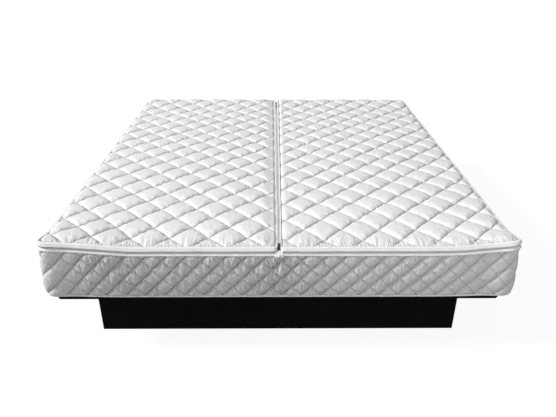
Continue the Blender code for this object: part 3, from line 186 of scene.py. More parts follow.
def face_up(sheet: Piece) -> float:
    """Turn a single sheet's faces up, judged by its largest one, and return their area."""
    faces = sheet.data.polygons
    if max(faces, key=lambda face: face.area).normal.z < 0:
        sheet.data.flip_normals()
    return sum(face.area for face in faces)


def add_wall(sheet: Piece, thickness: float) -> None:
    """Give a single sheet its wall, behind the side that its faces point to."""
    modifier = sheet.modifiers.new("wall", "SOLIDIFY")
    modifier.thickness, modifier.offset = thickness, -1.0


def make_piece(name: str, points: Array, faces: list[Array], uv: Array | None = None, sharp_deg: float = 50.0,
               period: float = 0.0) -> Piece:
    """Make a smooth mesh object at the origin from whole arrays, its faces pointing outwards.

    Args:
        name: The piece's name.
        points: Places of its vertices, one row each.
        faces: Blocks of faces, each an array with one row of vertex numbers per face.
        uv: A pair of seam coordinates per vertex, or None.
        sharp_deg: The bend between faces from which an edge is shaded sharp.
        period: How far the seam coordinates jump where a closed pattern meets itself, or 0.

    Returns:
        The linked object.
    """
    mesh = bpy.data.meshes.new(name)
    corners = np.concatenate([block.ravel() for block in faces]).astype(np.int32)
    sizes = np.concatenate([np.full(len(block), block.shape[1]) for block in faces])
    mesh.vertices.add(len(points))
    mesh.vertices.foreach_set("co", np.ascontiguousarray(points, np.float32).ravel())
    mesh.loops.add(len(corners))
    mesh.loops.foreach_set("vertex_index", corners)
    mesh.polygons.add(len(sizes))
    mesh.polygons.foreach_set("loop_start", np.concatenate([[0], np.cumsum(sizes)[:-1]]).astype(np.int32))
    mesh.update(calc_edges=True)
    if uv is not None:
        blocks = [uv[block] for block in faces]
        if period:
            blocks = [x + period * (x.max(1, keepdims=True) - x > period / 2) for x in blocks]
        layer = mesh.uv_layers.new(name="seams")
        flat = np.concatenate([x.reshape(-1, 2) for x in blocks]).astype(np.float32)
        layer.data.foreach_set("uv", flat.ravel())
    bm = bmesh.new()
    bm.from_mesh(mesh)
    bmesh.ops.recalc_face_normals(bm, faces=bm.faces[:])
    bm.to_mesh(mesh)
    bm.free()
    mesh.shade_smooth()
    mesh.set_sharp_from_angle(angle=math.radians(sharp_deg))
    return link(name, mesh)


def ring_faces(rings: int, count: int, closed: bool) -> list[Array]:
    """Return the quads between rings of points, and two caps where the rings aren't closed on themselves.

    Args:
        rings: How many rings follow each other.
        count: How many points each ring has.
        closed: Whether the last ring joins the first.

    Returns:
        Blocks of faces.
    """
    ring = np.arange(rings if closed else rings - 1)[:, None]
    point = np.arange(count)[None]
    after, beside = (ring + 1) % rings, (point + 1) % count
    quads = np.stack([ring * count + point, ring * count + beside,
                      after * count + beside, after * count + point], -1).reshape(-1, 4)
    if closed:
        return [quads]
    caps = np.array([np.arange(count), (rings - 1) * count + np.arange(count)])
    return [quads, caps]


def loft(name: str, rings: Array, closed: bool, uv: Array | None = None, sharp_deg: float = 50.0,
         period: float = 0.0) -> Piece:
    """Make a piece whose skin runs through rings of points.

    Args:
        name: The piece's name.
        rings: Points, in the shape (rings, points in a ring, 3).
        closed: Whether the last ring joins the first.
        uv: Seam coordinates in the shape (rings, points, 2), or None.
        sharp_deg: The bend from which an edge is shaded sharp.
        period: How far the seam coordinates jump where a closed pattern meets itself, or 0.

    Returns:
        The linked object.
    """
    faces = ring_faces(rings.shape[0], rings.shape[1], closed)
    flat = None if uv is None else uv.reshape(-1, 2)
    return make_piece(name, rings.reshape(-1, 3), faces, flat, sharp_deg, period)


def grid_triangles(u: Array, v: Array, wrap: bool) -> Array:
    """Return the triangles of a grid, each square split along the seam family that it lies nearer to.

    Args:
        u: First seam coordinate of each grid point; its seams run from a square's second corner to its third.
        v: Second seam coordinate; its seams run from a square's first corner to its last.
        wrap: Whether the last column joins the first.

    Returns:
        Rows of three point numbers, where a point's number is column * rows + row.
    """
    columns, rows = u.shape
    i = np.arange(columns if wrap else columns - 1)[:, None]
    j = np.arange(rows - 1)[None]
    k = (i + 1) % columns
    a, b, c, d = i * rows + j, k * rows + j, k * rows + j + 1, i * rows + j + 1
    half_step = np.median(np.diff(u[:, 0])) / 2
    middle_u = (u[i, j] + u[i, j + 1]) / 2 + half_step
    middle_v = (v[i, j] + v[i, j + 1]) / 2 + half_step
    nearer_u = np.abs(middle_u - np.round(middle_u)) < np.abs(middle_v - np.round(middle_v))
    first = np.where(nearer_u[..., None], np.stack([a, b, d], -1), np.stack([a, b, c], -1))
    second = np.where(nearer_u[..., None], np.stack([b, c, d], -1), np.stack([a, c, d], -1))
    return np.concatenate([first.reshape(-1, 3), second.reshape(-1, 3)])


def closed_pad(name: str, top: Array, low: Array, uv: Array, wall: tuple[Pair, ...] = (),
               skip: int = 10) -> Piece:
    """Make a padded piece from a grid of top points, a wall round its rim and a plainer underside.

    Args:
        name: The piece's name.
        top: Points of the top in the shape (columns, rows, 3).
        low: Points of the underside in the same shape, of which the rim and every few columns are used.
        uv: Seam coordinates of the top in the shape (columns, rows, 2).
        wall: Pairs of share down the wall and distance out of it, for the rings between top and underside.
        skip: How many columns one strip of the underside spans.

    Returns:
        The linked object.
    """
    columns, rows = top.shape[:2]
    across, along = np.arange(columns), np.arange(rows)
    loop = np.concatenate([across * rows, (columns - 1) * rows + along[1:],
                           across[-2::-1] * rows + rows - 1, along[-2:0:-1]])
    rim_top, rim_low = top.reshape(-1, 3)[loop], low.reshape(-1, 3)[loop]
    ahead = np.roll(rim_top, -1, 0) - np.roll(rim_top, 1, 0)
    out = np.stack([ahead[:, 1], -ahead[:, 0], np.zeros(len(loop))], 1)
    out /= np.linalg.norm(out, axis=1, keepdims=True)
    rings = [rim_top * (1 - share) + rim_low * share + outset * out for share, outset in wall]
    rings.append(rim_low)
    coarse = np.unique(np.append(across[::skip], columns - 1))
    inner = coarse[1:-1]
    filling = low[inner][:, 1:-1].reshape(-1, 3)
    points = np.concatenate([top.reshape(-1, 3), *rings, filling])
    count = len(loop)
    start = columns * rows + count * len(rings)
    number = np.full(columns * rows, -1)
    number[loop] = start - count + np.arange(count)
    number = number.reshape(columns, rows)
    number[np.ix_(inner, along[1:-1])] = start + np.arange(len(filling)).reshape(len(inner), -1)
    levels = [loop] + [columns * rows + count * ring + np.arange(count) for ring in range(len(rings))]
    walls = [np.stack([high, deep, np.roll(deep, -1), np.roll(high, -1)], 1)
             for high, deep in zip(levels, levels[1:])]
    left, right = number[coarse[:-1], 1:-1], number[coarse[1:], 1:-1]
    strips = np.stack([left[:, :-1], left[:, 1:], right[:, 1:], right[:, :-1]], -1).reshape(-1, 4)
    ends = []
    for first, last in zip(coarse, coarse[1:]):
        span = np.arange(first, last + 1)
        for edge, next_row in ((0, 1), (rows - 1, rows - 2)):
            ends.append(np.concatenate([number[span, edge], number[[last, first], next_row]])[None])
    faces = [grid_triangles(uv[..., 0], uv[..., 1], False), *walls, strips, *ends]
    flat = np.zeros((len(points), 2)) + 0.5
    flat[:columns * rows] = uv.reshape(-1, 2)
    return make_piece(name, points, faces, flat)


def mark_gathers(piece: Piece, along_x: Array, along_y: Array, upright: Array) -> None:
    """Note on the first vertices how strongly the cloth is gathered, for its material's fine streaks and the
    shade painted into them.

    Args:
        piece: The mesh object.
        along_x: Strength of streaks that follow each other along X.
        along_y: Strength of streaks that follow each other along Y.
        upright: Strength of upright streaks.
    """
    strength = np.zeros((len(piece.data.vertices), 3), np.float32)
    strength[:along_x.size] = np.stack([along_x.ravel(), along_y.ravel(), upright.ravel()], 1)
    layer = piece.data.attributes.new("gathers", "FLOAT_VECTOR", "POINT")
    layer.data.foreach_set("vector", strength.ravel())


def finish_piece(piece: Piece, finish: "Finish", body: str, *nodes: str) -> Piece:
    """Dress a piece, set it on its body and let it stand for its CAD nodes.

    Args:
        piece: The finished mesh object.
        finish: Its finish, whose slot the piece takes.
        body: The CAD body that it moves with.
        nodes: The CAD nodes that it replaces.

    Returns:
        The same object.
    """
    piece.data.materials.clear()
    piece.data.materials.append(finish.material())
    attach(piece, body)
    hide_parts(*nodes)
    LOG.info("%s: %d faces on %s", piece.name, len(piece.data.polygons), body)
    return piece


# ---- the bed's outline


@dataclass(frozen=True)
class Path:
    """A line on the plan with its outward normals."""

    points: Array
    normals: Array
    closed: bool

    def distances(self) -> Array:
        """Return the distance along the line at each point, and at the end of a closed line once more."""
        points = np.concatenate([self.points, self.points[:1]]) if self.closed else self.points
        return np.concatenate([[0], np.cumsum(np.linalg.norm(np.diff(points, axis=0), axis=1))])

    def even(self, count: int, start: float = 0.0) -> "Path":
        """Return the same line with its points at an even spacing.

        Args:
            count: How many points it gets.
            start: Distance along a closed line of the first one.

        Returns:
            The new path.
        """
        distance = self.distances()
        table = np.concatenate([self.points, self.normals], 1)
        if self.closed:
            table = np.concatenate([table, table[:1]])
        steps = count if self.closed else count - 1
        wanted = distance[-1] * np.arange(count) / steps + start
        wanted = wanted % distance[-1] if self.closed else wanted
        table = np.stack([np.interp(wanted, distance, column) for column in table.T], 1)
        normals = table[:, 2:] / np.linalg.norm(table[:, 2:], axis=1, keepdims=True)
        return Path(table[:, :2], normals, self.closed)

    @property
    def length(self) -> float:
        """The line's whole length."""
        return self.distances()[-1]

    def spaced(self, spacing: float) -> tuple["Path", Array]:
        """Return the closed line with points about a spacing apart, and a column of the distances to them."""
        path = self.even(round(self.length / spacing))
        count = len(path.points)
        return path, self.length * np.arange(count)[:, None] / count


@dataclass(frozen=True)
class Rim:
    """The bed's outline: sides that swell a little, round corners, and an edge that rises at the corners."""

    half_width: float = 0.900
    half_length: float = 1.000
    corner: float = 0.055
    swell: float = 0.010
    flat_share: float = 0.70
    rise: float = 0.018
    rise_reach: float = 0.28
    rise_head: float = 0.25
    head_lift: float = 0.012
    flare: tuple[Pair, ...] = ((-0.016, -0.018), (0.030, -0.018), (0.0, 0.006), (0.002, 0.006))
    flare_reach: float = 0.13
    steps: int = 400

    def standout(self, share: Array) -> Array:
        """Return how far a side stands out at a share of its half length: swell * (1 - past^2)."""
        past = np.clip((np.abs(share) - self.flat_share) / (1 - self.flat_share), 0, 1)
        return self.swell * (1 - past**2)

    def line(self) -> Path:
        """Return the closed outline, anticlockwise from the middle of the foot end.

        Each side runs between its corners' centres at corner + standout outside them, and each corner turns
        the normal evenly from one side's end to the next one's start.
        """
        half_x, half_y = self.half_width - self.corner, self.half_length - self.corner
        share = np.linspace(-1, 1, self.steps)
        base, normal = [], []
        for turn, (along, across) in enumerate(((half_x, half_y), (half_y, half_x)) * 2):
            slope = np.gradient(self.standout(share), share * along)
            points = np.stack([share * along, -across - self.standout(share)], 1)
            normals = np.stack([-slope, -np.ones_like(slope)], 1)
            normals /= np.linalg.norm(normals, axis=1, keepdims=True)
            angle = turn * math.pi / 2
            cosine, sine = math.cos(angle), math.sin(angle)
            spin = np.array([[cosine, sine], [-sine, cosine]])
            base.append(points @ spin)
            normal.append(normals @ spin)
        points, normals = [], []
        for side in range(4):
            first, last = normal[side][-1], normal[(side + 1) % 4][0]
            start = math.atan2(first[1], first[0])
            sweep = (math.atan2(last[1], last[0]) - start) % (2 * math.pi)
            angles = start + sweep * np.linspace(0, 1, self.steps // 8)[1:-1]
            points += [base[side], np.repeat(base[side][-1:], len(angles), 0)]
            normals += [normal[side], np.stack([np.cos(angles), np.sin(angles)], 1)]
        points, normals = np.concatenate(points), np.concatenate(normals)
        points = points + self.corner * normals
        points = points + self.flared(points)
        middle = self.steps // 2
        return Path(np.roll(points, -middle, 0), np.roll(normals, -middle, 0), True)

    def corner_distance(self, points: Array) -> Array:
        """Return how far plan points are from the nearest corner of the rectangle round the bed."""
        return np.hypot(np.abs(points[..., 0]) - self.half_width, np.abs(points[..., 1]) - self.half_length)

    def flared(self, points: Array) -> Array:
        """Return how far plan points by a corner move out: flare * (1 - corner distance / reach)^2."""
        quarter = (points[..., 0] > 0) + 2 * (points[..., 1] > 0)
        near = np.clip(1 - self.corner_distance(points) / self.flare_reach, 0, 1)
        return np.array(self.flare)[quarter] * (near**2)[..., None]

    def lifted(self, points: Array) -> Array:
        """Return how far the edge rises at plan points.

        By a corner it is rise * (1 - corner distance / reach)^2, less so at the head end, which is lifted
        along its whole width instead.

        Args:
            points: Plan points, with one more axis of x and y.

        Returns:
            Heights, one per point.
        """
        corner = self.rise * np.clip(1 - self.corner_distance(points) / self.rise_reach, 0, 1) ** 2
        head = points[..., 1] > 0
        return corner * np.where(head, self.rise_head, 1) + self.head_lift * ease(points[..., 1], 0.70, 1.0)

    def pad_line(self, side: Side, inner_x: float, inner_radius: float) -> Path:
        """Return one pad's closed outline: the bed's outline past the middle, and round corners by the zip.

        Args:
            side: Which half.
            inner_x: Distance of the pad's straight inner edge from the middle.
            inner_radius: Radius of its two inner corners.

        Returns:
            The closed path, anticlockwise.
        """
        whole = self.line()
        centre_x, centre_y = inner_x + inner_radius, FRONT_FACE - inner_radius
        keep = whole.points[:, 0] > centre_x
        order = np.argsort(np.where(keep, np.arange(len(keep)), len(keep)), kind="stable")[:keep.sum()]
        points, normals = [whole.points[order]], [whole.normals[order]]
        for start, y in ((math.pi / 2, centre_y), (math.pi, -centre_y)):
            angles = start + np.linspace(0, math.pi / 2, 24)
            way = np.stack([np.cos(angles), np.sin(angles)], 1)
            points.append(np.array([centre_x, y]) + inner_radius * way)
            normals.append(way)
        points, normals = np.concatenate(points), np.concatenate(normals)
        if side is Side.LEFT:
            points, normals = points[::-1] * (-1, 1), normals[::-1] * (-1, 1)
        return Path(points, normals, True)


RIM = Rim()


@dataclass(frozen=True)
class Drape:
    """How the cloth's edge at the foot end hangs higher or lower than the even line, in millimetres."""

    places: tuple[float, ...] = (-0.90, -0.80, -0.74, -0.68, -0.62, -0.57, 0.57, 0.70, 0.75, 0.80, 0.90)
    levels: tuple[float, ...] = (4.0, 8.0, 9.5, 8.0, 4.0, 0.0, 0.0, 1.5, 3.0, 3.0, 6.0)
    reach: float = 0.20

    def at(self, points: Array) -> Array:
        """Return the change of height at plan points: read between the places, fading behind the foot end."""
        change = np.interp(points[..., 0], self.places, self.levels) * MM
        return change * (1 - ease(points[..., 1], -1.0, -1.0 + self.reach))


DRAPE = Drape()


def edge_rise(points: Array) -> Array:
    """Return how far the cloth's edge lies above its even height at plan points: the rise and the drape."""
    return RIM.lifted(points) + DRAPE.at(points)


def sweep(path: Path, outset: Array, height: Array, raised: bool = True) -> Array:
    """Carry a section along a path: each point stands outset along the normal at its height.

    Args:
        path: The line.
        outset: Distances out of the line, one per section point or one row per path point.
        height: Heights in the same shape.
        raised: Whether the section rises and drapes with the bed's top edge.

    Returns:
        Rings in the shape (path points, section points, 3).
    """
    count = len(path.points)
    outset, height = (np.broadcast_to(x, (count, np.shape(x)[-1])) for x in (outset, height))
    place = path.points[:, None] + outset[..., None] * path.normals[:, None]
    change = edge_rise(path.points) * raised
    return np.concatenate([place, (height + change[:, None])[..., None]], 2)


def rounded_outline(low: Pair, high: Pair, radii: tuple[float, ...], steps: int = 7) -> Array:
    """Return a rectangle with round corners, anticlockwise from its corner at high X and high Y.

    Args:
        low: Its low corner.
        high: Its high corner.
        radii: The corners' radii at high X high Y, low X high Y, low X low Y and high X low Y.
        steps: Steps round each corner.

    Returns:
        Points, one row each.
    """
    places = ((high[0], high[1], -1, -1), (low[0], high[1], 1, -1),
              (low[0], low[1], 1, 1), (high[0], low[1], -1, 1))
    corners = []
    for turn, ((x, y, way_x, way_y), radius) in enumerate(zip(places, radii)):
        angle = (turn + np.linspace(0, 1, steps)) * math.pi / 2
        centre = np.array([x + way_x * radius, y + way_y * radius])
        corners.append(centre + radius * np.stack([np.cos(angle), np.sin(angle)], 1))
    return np.concatenate(corners)


def at_level(outline: Array, level: float) -> Array:
    """Return plan points with a height."""
    return np.column_stack([outline, np.full(len(outline), level)])


# ---- sewn cells


def full_profile(height: Array, fullness: float) -> Array:
    """Return 1 - (1 - height)^fullness, which steepens a cell by its seams and flattens its middle."""
    return 1 - np.clip(1 - height, 0, None) ** fullness + 0.4 * np.clip(height - 1, 0, None)


@dataclass
class SewnCells:
    """A few stuffed diamond cells, sewn down on their four seams, that the quilts pick from.

    Each is a sheet of cloth cut larger than its frame and blown up by Blender's cloth solver, so it wrinkles
    from its seams as a quilted cell does.
    """

    name: str
    pitch_x: float
    pitch_y: float
    slack_x: float
    slack_y: float
    pressure: float
    fullness: float
    count: int = 8
    points: int = 29
    frames: int = 26
    seed: int = 11

    def __post_init__(self) -> None:
        """Work the cells out once."""
        self.shapes = self.simulated()

    def frame(self) -> tuple[Array, Array]:
        """Return the seam coordinates of a cell's points, each from 0 to 1."""
        line = np.linspace(0, 1, self.points)
        return np.meshgrid(line, line, indexing="ij")

    def simulated(self) -> Array:
        """Run the cloth solver on all the cells at once and return their displacements.

        Returns:
            Displacements in the shape (cells, points, points, 3), x and y in metres, z with 1 as full height.
        """
        u, v = self.frame()
        x, y = (u + v - 1) / 2 * self.pitch_x, (u - v) / 2 * self.pitch_y
        rng = np.random.default_rng(self.seed)
        inside = np.sqrt(np.sin(math.pi * u).clip(0) * np.sin(math.pi * v).clip(0))
        rest, larger = [], []
        for cell in range(self.count):
            bumps = Lattice(self.seed + cell).at(u * 7 + 3 * cell, v * 7) * MM * inside
            offset = cell * self.pitch_x * 1.5
            rest.append(np.stack([x + offset, y, bumps + 4 * MM * inside], -1))
            cut_x = 1 + self.slack_x * rng.uniform(0.8, 1.2)
            cut_y = 1 + self.slack_y * rng.uniform(0.8, 1.2)
            larger.append(np.stack([x * cut_x + offset, y * cut_y, bumps * 0], -1))
        rest, larger = np.array(rest), np.array(larger)
        n = self.points
        i, j = np.meshgrid(np.arange(n - 1), np.arange(n - 1), indexing="ij")
        quads = np.stack([i * n + j, i * n + j + 1, (i + 1) * n + j + 1, (i + 1) * n + j], -1).reshape(-1, 4)
        faces = np.concatenate([quads + cell * n * n for cell in range(self.count)])
        mesh = bpy.data.meshes.new(self.name)
        mesh.from_pydata(rest.reshape(-1, 3).tolist(), [], faces.tolist())
        sheet = link(self.name, mesh)
        edge = np.zeros((n, n), bool)
        edge[[0, -1]] = edge[:, [0, -1]] = True
        pinned = np.flatnonzero(np.tile(edge.ravel(), self.count))
        sheet.vertex_groups.new(name="sewn").add(pinned.tolist(), 1.0, "REPLACE")
        sheet.shape_key_add(name="Basis")
        cut = sheet.shape_key_add(name="cut")
        cut.data.foreach_set("co", larger.astype(np.float32).ravel())
        cloth = sheet.modifiers.new("stuffing", "CLOTH")
        settings = cloth.settings
        settings.vertex_group_mass = "sewn"
        settings.rest_shape_key = cut
        settings.quality, settings.mass, settings.air_damping = 6, 0.25, 3.0
        settings.tension_stiffness = settings.compression_stiffness = 25.0
        settings.shear_stiffness, settings.bending_stiffness = 8.0, 0.35
        settings.effector_weights.gravity = 0.0
        settings.use_pressure, settings.uniform_pressure_force = True, self.pressure
        cloth.collision_settings.use_collision = False
        cloth.point_cache.frame_start, cloth.point_cache.frame_end = 1, self.frames
        scene = bpy.context.scene
        for step in range(1, self.frames + 1):
            scene.frame_set(step)
        shown = sheet.evaluated_get(bpy.context.evaluated_depsgraph_get())
        moved = np.empty(len(shown.data.vertices) * 3, np.float32)
        shown.data.vertices.foreach_get("co", moved)
        scene.frame_set(1)
        bpy.data.objects.remove(sheet)
        change = moved.reshape(self.count, n, n, 3).astype(float) - rest * (1, 1, 0)
        full = np.abs(change[..., 2]).reshape(self.count, -1).max(1)
        LOG.info("%s: full heights %s mm", self.name, np.round(full / MM, 1))
        change[..., 2] /= np.median(full)
        return change

    def at(self, u: Array, v: Array, seed: int) -> Array:
        """Return a quilt's displacement at seam coordinates, with a cell picked and turned for each diamond.

        Args:
            u: First seam coordinates, whose whole numbers are seams.
            v: Second seam coordinates.
            seed: Picks which cell goes where.

        Returns:
            Displacements, with one more axis of x, y and z.
        """
        table = np.random.default_rng(seed).integers(0, 4 * self.count, (64, 64))
        cell_u, cell_v = np.floor(u).astype(int), np.floor(v).astype(int)
        picked = table[cell_u % 64, cell_v % 64]
        cell, turn = picked // 4, picked % 4
        a, b = u - cell_u, v - cell_v
        flip_x, flip_y = turn % 2 == 1, turn > 1
        a, b = np.where(flip_x, 1 - b, a), np.where(flip_x, 1 - a, b)
        a, b = np.where(flip_y, b, a), np.where(flip_y, a, b)
        a, b = a * (self.points - 1), b * (self.points - 1)
        i, j = (np.clip(np.floor(x).astype(int), 0, self.points - 2) for x in (a, b))
        s, t = (a - i)[..., None], (b - j)[..., None]
        shapes = self.shapes
        near = shapes[cell, i, j] * (1 - s) + shapes[cell, i + 1, j] * s
        far = shapes[cell, i, j + 1] * (1 - s) + shapes[cell, i + 1, j + 1] * s
        moved = near * (1 - t) + far * t
        moved[..., 2] = full_profile(moved[..., 2], self.fullness)
        signs = np.stack([np.where(flip_x, -1, 1), np.where(flip_y, -1, 1), np.ones_like(turn)], -1)
        return moved * signs


@dataclass(frozen=True)
class Quilting:
    """A diamond pattern of seams: its pitch across and along, and one crossing's place."""

    pitch_x: float
    pitch_y: float
    phase_x: float
    phase_y: float

    def seams(self, x: Array, y: Array) -> tuple[Array, Array]:
        """Return seam coordinates (x' + y', x' - y') in pitches; whole numbers are seams."""
        across, along = (x - self.phase_x) / self.pitch_x, (y - self.phase_y) / self.pitch_y
        return across + along, across - along

    def gathers(self, u: Array, v: Array, seed: int) -> Array:
        """Return short folds that run from the seams into the cells, from -1 to 1, fading away from a seam.

        A fold runs square to its seam, so it is noise that is short along the seam and long across it.
        """
        off_u, off_v = np.abs(u - np.round(u)), np.abs(v - np.round(v))
        along_u = Lattice(seed).at(v * 11, np.round(u) * 3.7) * bell(off_u, 0.17)
        along_v = Lattice(seed + 1).at(u * 11, np.round(v) * 3.7) * bell(off_v, 0.17)
        return (along_u + along_v) * ease(off_u, 0, 0.06) * ease(off_v, 0, 0.06)


def lines_between(low: float, high: float, phase: float, step: float, close: tuple[float, ...]) -> Array:
    """Return grid lines from low to high that pass through the pattern, with closer ones by both edges.

    Args:
        low: First line.
        high: Last line.
        phase: A place that a line passes through.
        step: Spacing of the pattern's lines.
        close: Distances in from each edge of the extra lines, beginning with 0.

    Returns:
        The lines' places, rising.
    """
    margin = close[-1] + 0.4 * step
    first, last = math.ceil((low + margin - phase) / step), math.floor((high - margin - phase) / step)
    extra = np.array(close)
    return np.concatenate([low + extra, phase + step * np.arange(first, last + 1), high - extra[::-1]])


# ---- the bed's sub-assemblies


@dataclass
class QuiltedTop:
    """One half's quilted top pad: stuffed diamonds that roll down to the binding round its edge."""

    side: Side
    cells: SewnCells
    quilting: Quilting
    finish: "Finish"
    low_x: float
    widening: float
    inner_roll: float
    inner_share: float
    groove: float
    high_x: float = 0.8907
    half_y: float = 0.9907
    outer_corner: float = 0.0457
    inner_corner: float = 0.0050
    valley: float = 0.4979
    edge_drop: float = -0.0015
    edge_roll: float = 0.035
    puff: float = 0.0150
    crown: float = 0.004
    unevenness: float = 0.0018
    gather: float = 0.0026
    hem_fold: float = 0.0040
    side_crease: float = 0.0035
    crease_in: float = 0.008
    crease_half: float = 0.0035
    groove_foot: float = 0.0012
    groove_slope: float = 0.0022
    groove_side: float = 0.0045
    grid_share: int = 30
    close: tuple[float, ...] = (0.0, 0.0012, 0.003, 0.0055, 0.0085)

    def round_corners(self, x: Array, y: Array) -> tuple[Array, Array, Array, Array]:
        """Move the grid's square corners onto arcs and its edges out onto the swollen sides.

        Args:
            x: Distances from the middle line.
            y: Places along the bed.

        Returns:
            The moved x and y, and the distances in from the edge by the zip and from the outer edges.
        """
        inner, outer = x - self.low_x, np.minimum(self.high_x - x, self.half_y - np.abs(y))
        moved_x, moved_y = x.copy(), y.copy()
        corners = ((self.outer_corner, self.high_x, 1), (self.inner_corner, self.low_x, -1))
        for radius, corner_x, way in corners:
            shift_x, shift_y = arc_shift((x - corner_x) * way + radius, np.abs(y) - self.half_y + radius)
            moved_x += way * shift_x
            moved_y += np.sign(y) * shift_y
        half_x, half_y = RIM.half_width - RIM.corner, RIM.half_length - RIM.corner
        moved_y += np.sign(y) * RIM.standout(x / half_x) * ease(np.abs(y), 0.8 * self.half_y, self.half_y)
        moved_x += RIM.standout(y / half_y) * ease(x, 0.6 * self.high_x, self.high_x)
        moved_x += self.widening * (y + self.half_y) * (1 - ease(x, self.low_x, 0.14))
        return moved_x, moved_y, inner, outer

    def heights(self, x: Array, y: Array, inner: Array, outer: Array, moved: Array) -> Array:
        """Return the top's heights: a crowned sheet, rolled down at its edge, with the cells and folds on it.

        By the zip the pad sinks by the groove, over a strip that is wider towards the head end, and the cells
        grow from the inner share to their full height. Along the bed's sides a crease, bell-shaped across,
        runs behind the binding.

        Args:
            x: Plan places on X, with the half's sign.
            y: Plan places on Y.
            inner: Distance in from the edge by the zip.
            outer: Distance in from the outer edges.
            moved: The cells' displacements.

        Returns:
            Heights in the same shape.
        """
        u, v = self.quilting.seams(np.abs(x), y)
        seed = 40 + self.side.value
        depth = np.minimum(inner, outer)
        roll = rolled(np.minimum(inner / self.inner_roll, outer / self.edge_roll))
        roll *= self.inner_share + (1 - self.inner_share) * ease(inner, 0, 0.06)
        along = np.where(np.abs(y) > self.half_y - outer - 0.001, x, y)
        hem = Lattice(seed + 5).folds(along / 0.017, outer / 0.12)
        hem *= np.exp(-outer / 0.030) * ease(depth, 0.002, 0.014)
        broad = Lattice(seed + 7).at(x / 0.24, y / 0.24) * ease(depth, 0, 0.2)
        gathers = self.quilting.gathers(u, v, seed + 9)
        floor = self.groove_foot + self.groove_slope * (y + 1)
        by_side = np.abs(y) < self.half_y - outer - 0.03
        height = self.valley - self.edge_drop * (1 - roll) + self.crown * ease(depth, 0, 0.35)
        height += edge_rise(np.stack([x, y], -1)) + self.unevenness * broad
        height -= self.groove * (1 - ease(inner, floor, floor + self.groove_side))
        height -= self.side_crease * bell(outer - self.crease_in, self.crease_half) * by_side
        return height + roll * (self.puff * moved[..., 2] + self.gather * gathers) + self.hem_fold * hem

    def build(self) -> Piece:
        """Build the pad on the left or right cover body."""
        step_x, step_y = self.quilting.pitch_x / self.grid_share, self.quilting.pitch_y / self.grid_share
        lines_x = lines_between(self.low_x, self.high_x, self.quilting.phase_x, step_x, self.close)
        lines_y = lines_between(-self.half_y, self.half_y, self.quilting.phase_y, step_y, self.close)
        x, y = np.meshgrid(lines_x, lines_y, indexing="ij")
        u, v = self.quilting.seams(x, y)
        moved = self.cells.at(u, v, 70 + self.side.value)
        plan_x, plan_y, inner, outer = self.round_corners(x, y)
        depth = np.minimum(inner, outer)
        way = self.side.value
        flare = RIM.flared(np.stack([way * plan_x, plan_y], -1))
        plan_x, plan_y = plan_x + way * flare[..., 0], plan_y + flare[..., 1]
        loose = ease(depth, 0.0, 0.03)[..., None]
        height = self.heights(way * plan_x, plan_y, inner, outer, moved)
        top = np.stack([way * plan_x, plan_y, height], -1)
        top[..., :2] += moved[..., :2] * (way, 1) * loose
        bottom = PAD_BOTTOM + RIM.lifted(np.stack([plan_x, plan_y], -1))
        low = np.stack([way * plan_x, plan_y, bottom], -1)
        pad = closed_pad(f"quilted_top_{self.side.label}", top, low, np.stack([u, v], -1))
        near = np.exp(-outer / 0.035)
        by_end = np.abs(plan_y) > self.half_y - outer - 0.002
        mark_gathers(pad, near * by_end, 0.5 * near * ~by_end, 0 * near)
        return finish_piece(pad, self.finish, f"cover_{self.side.label}", f"top_pad_{self.side.label}")


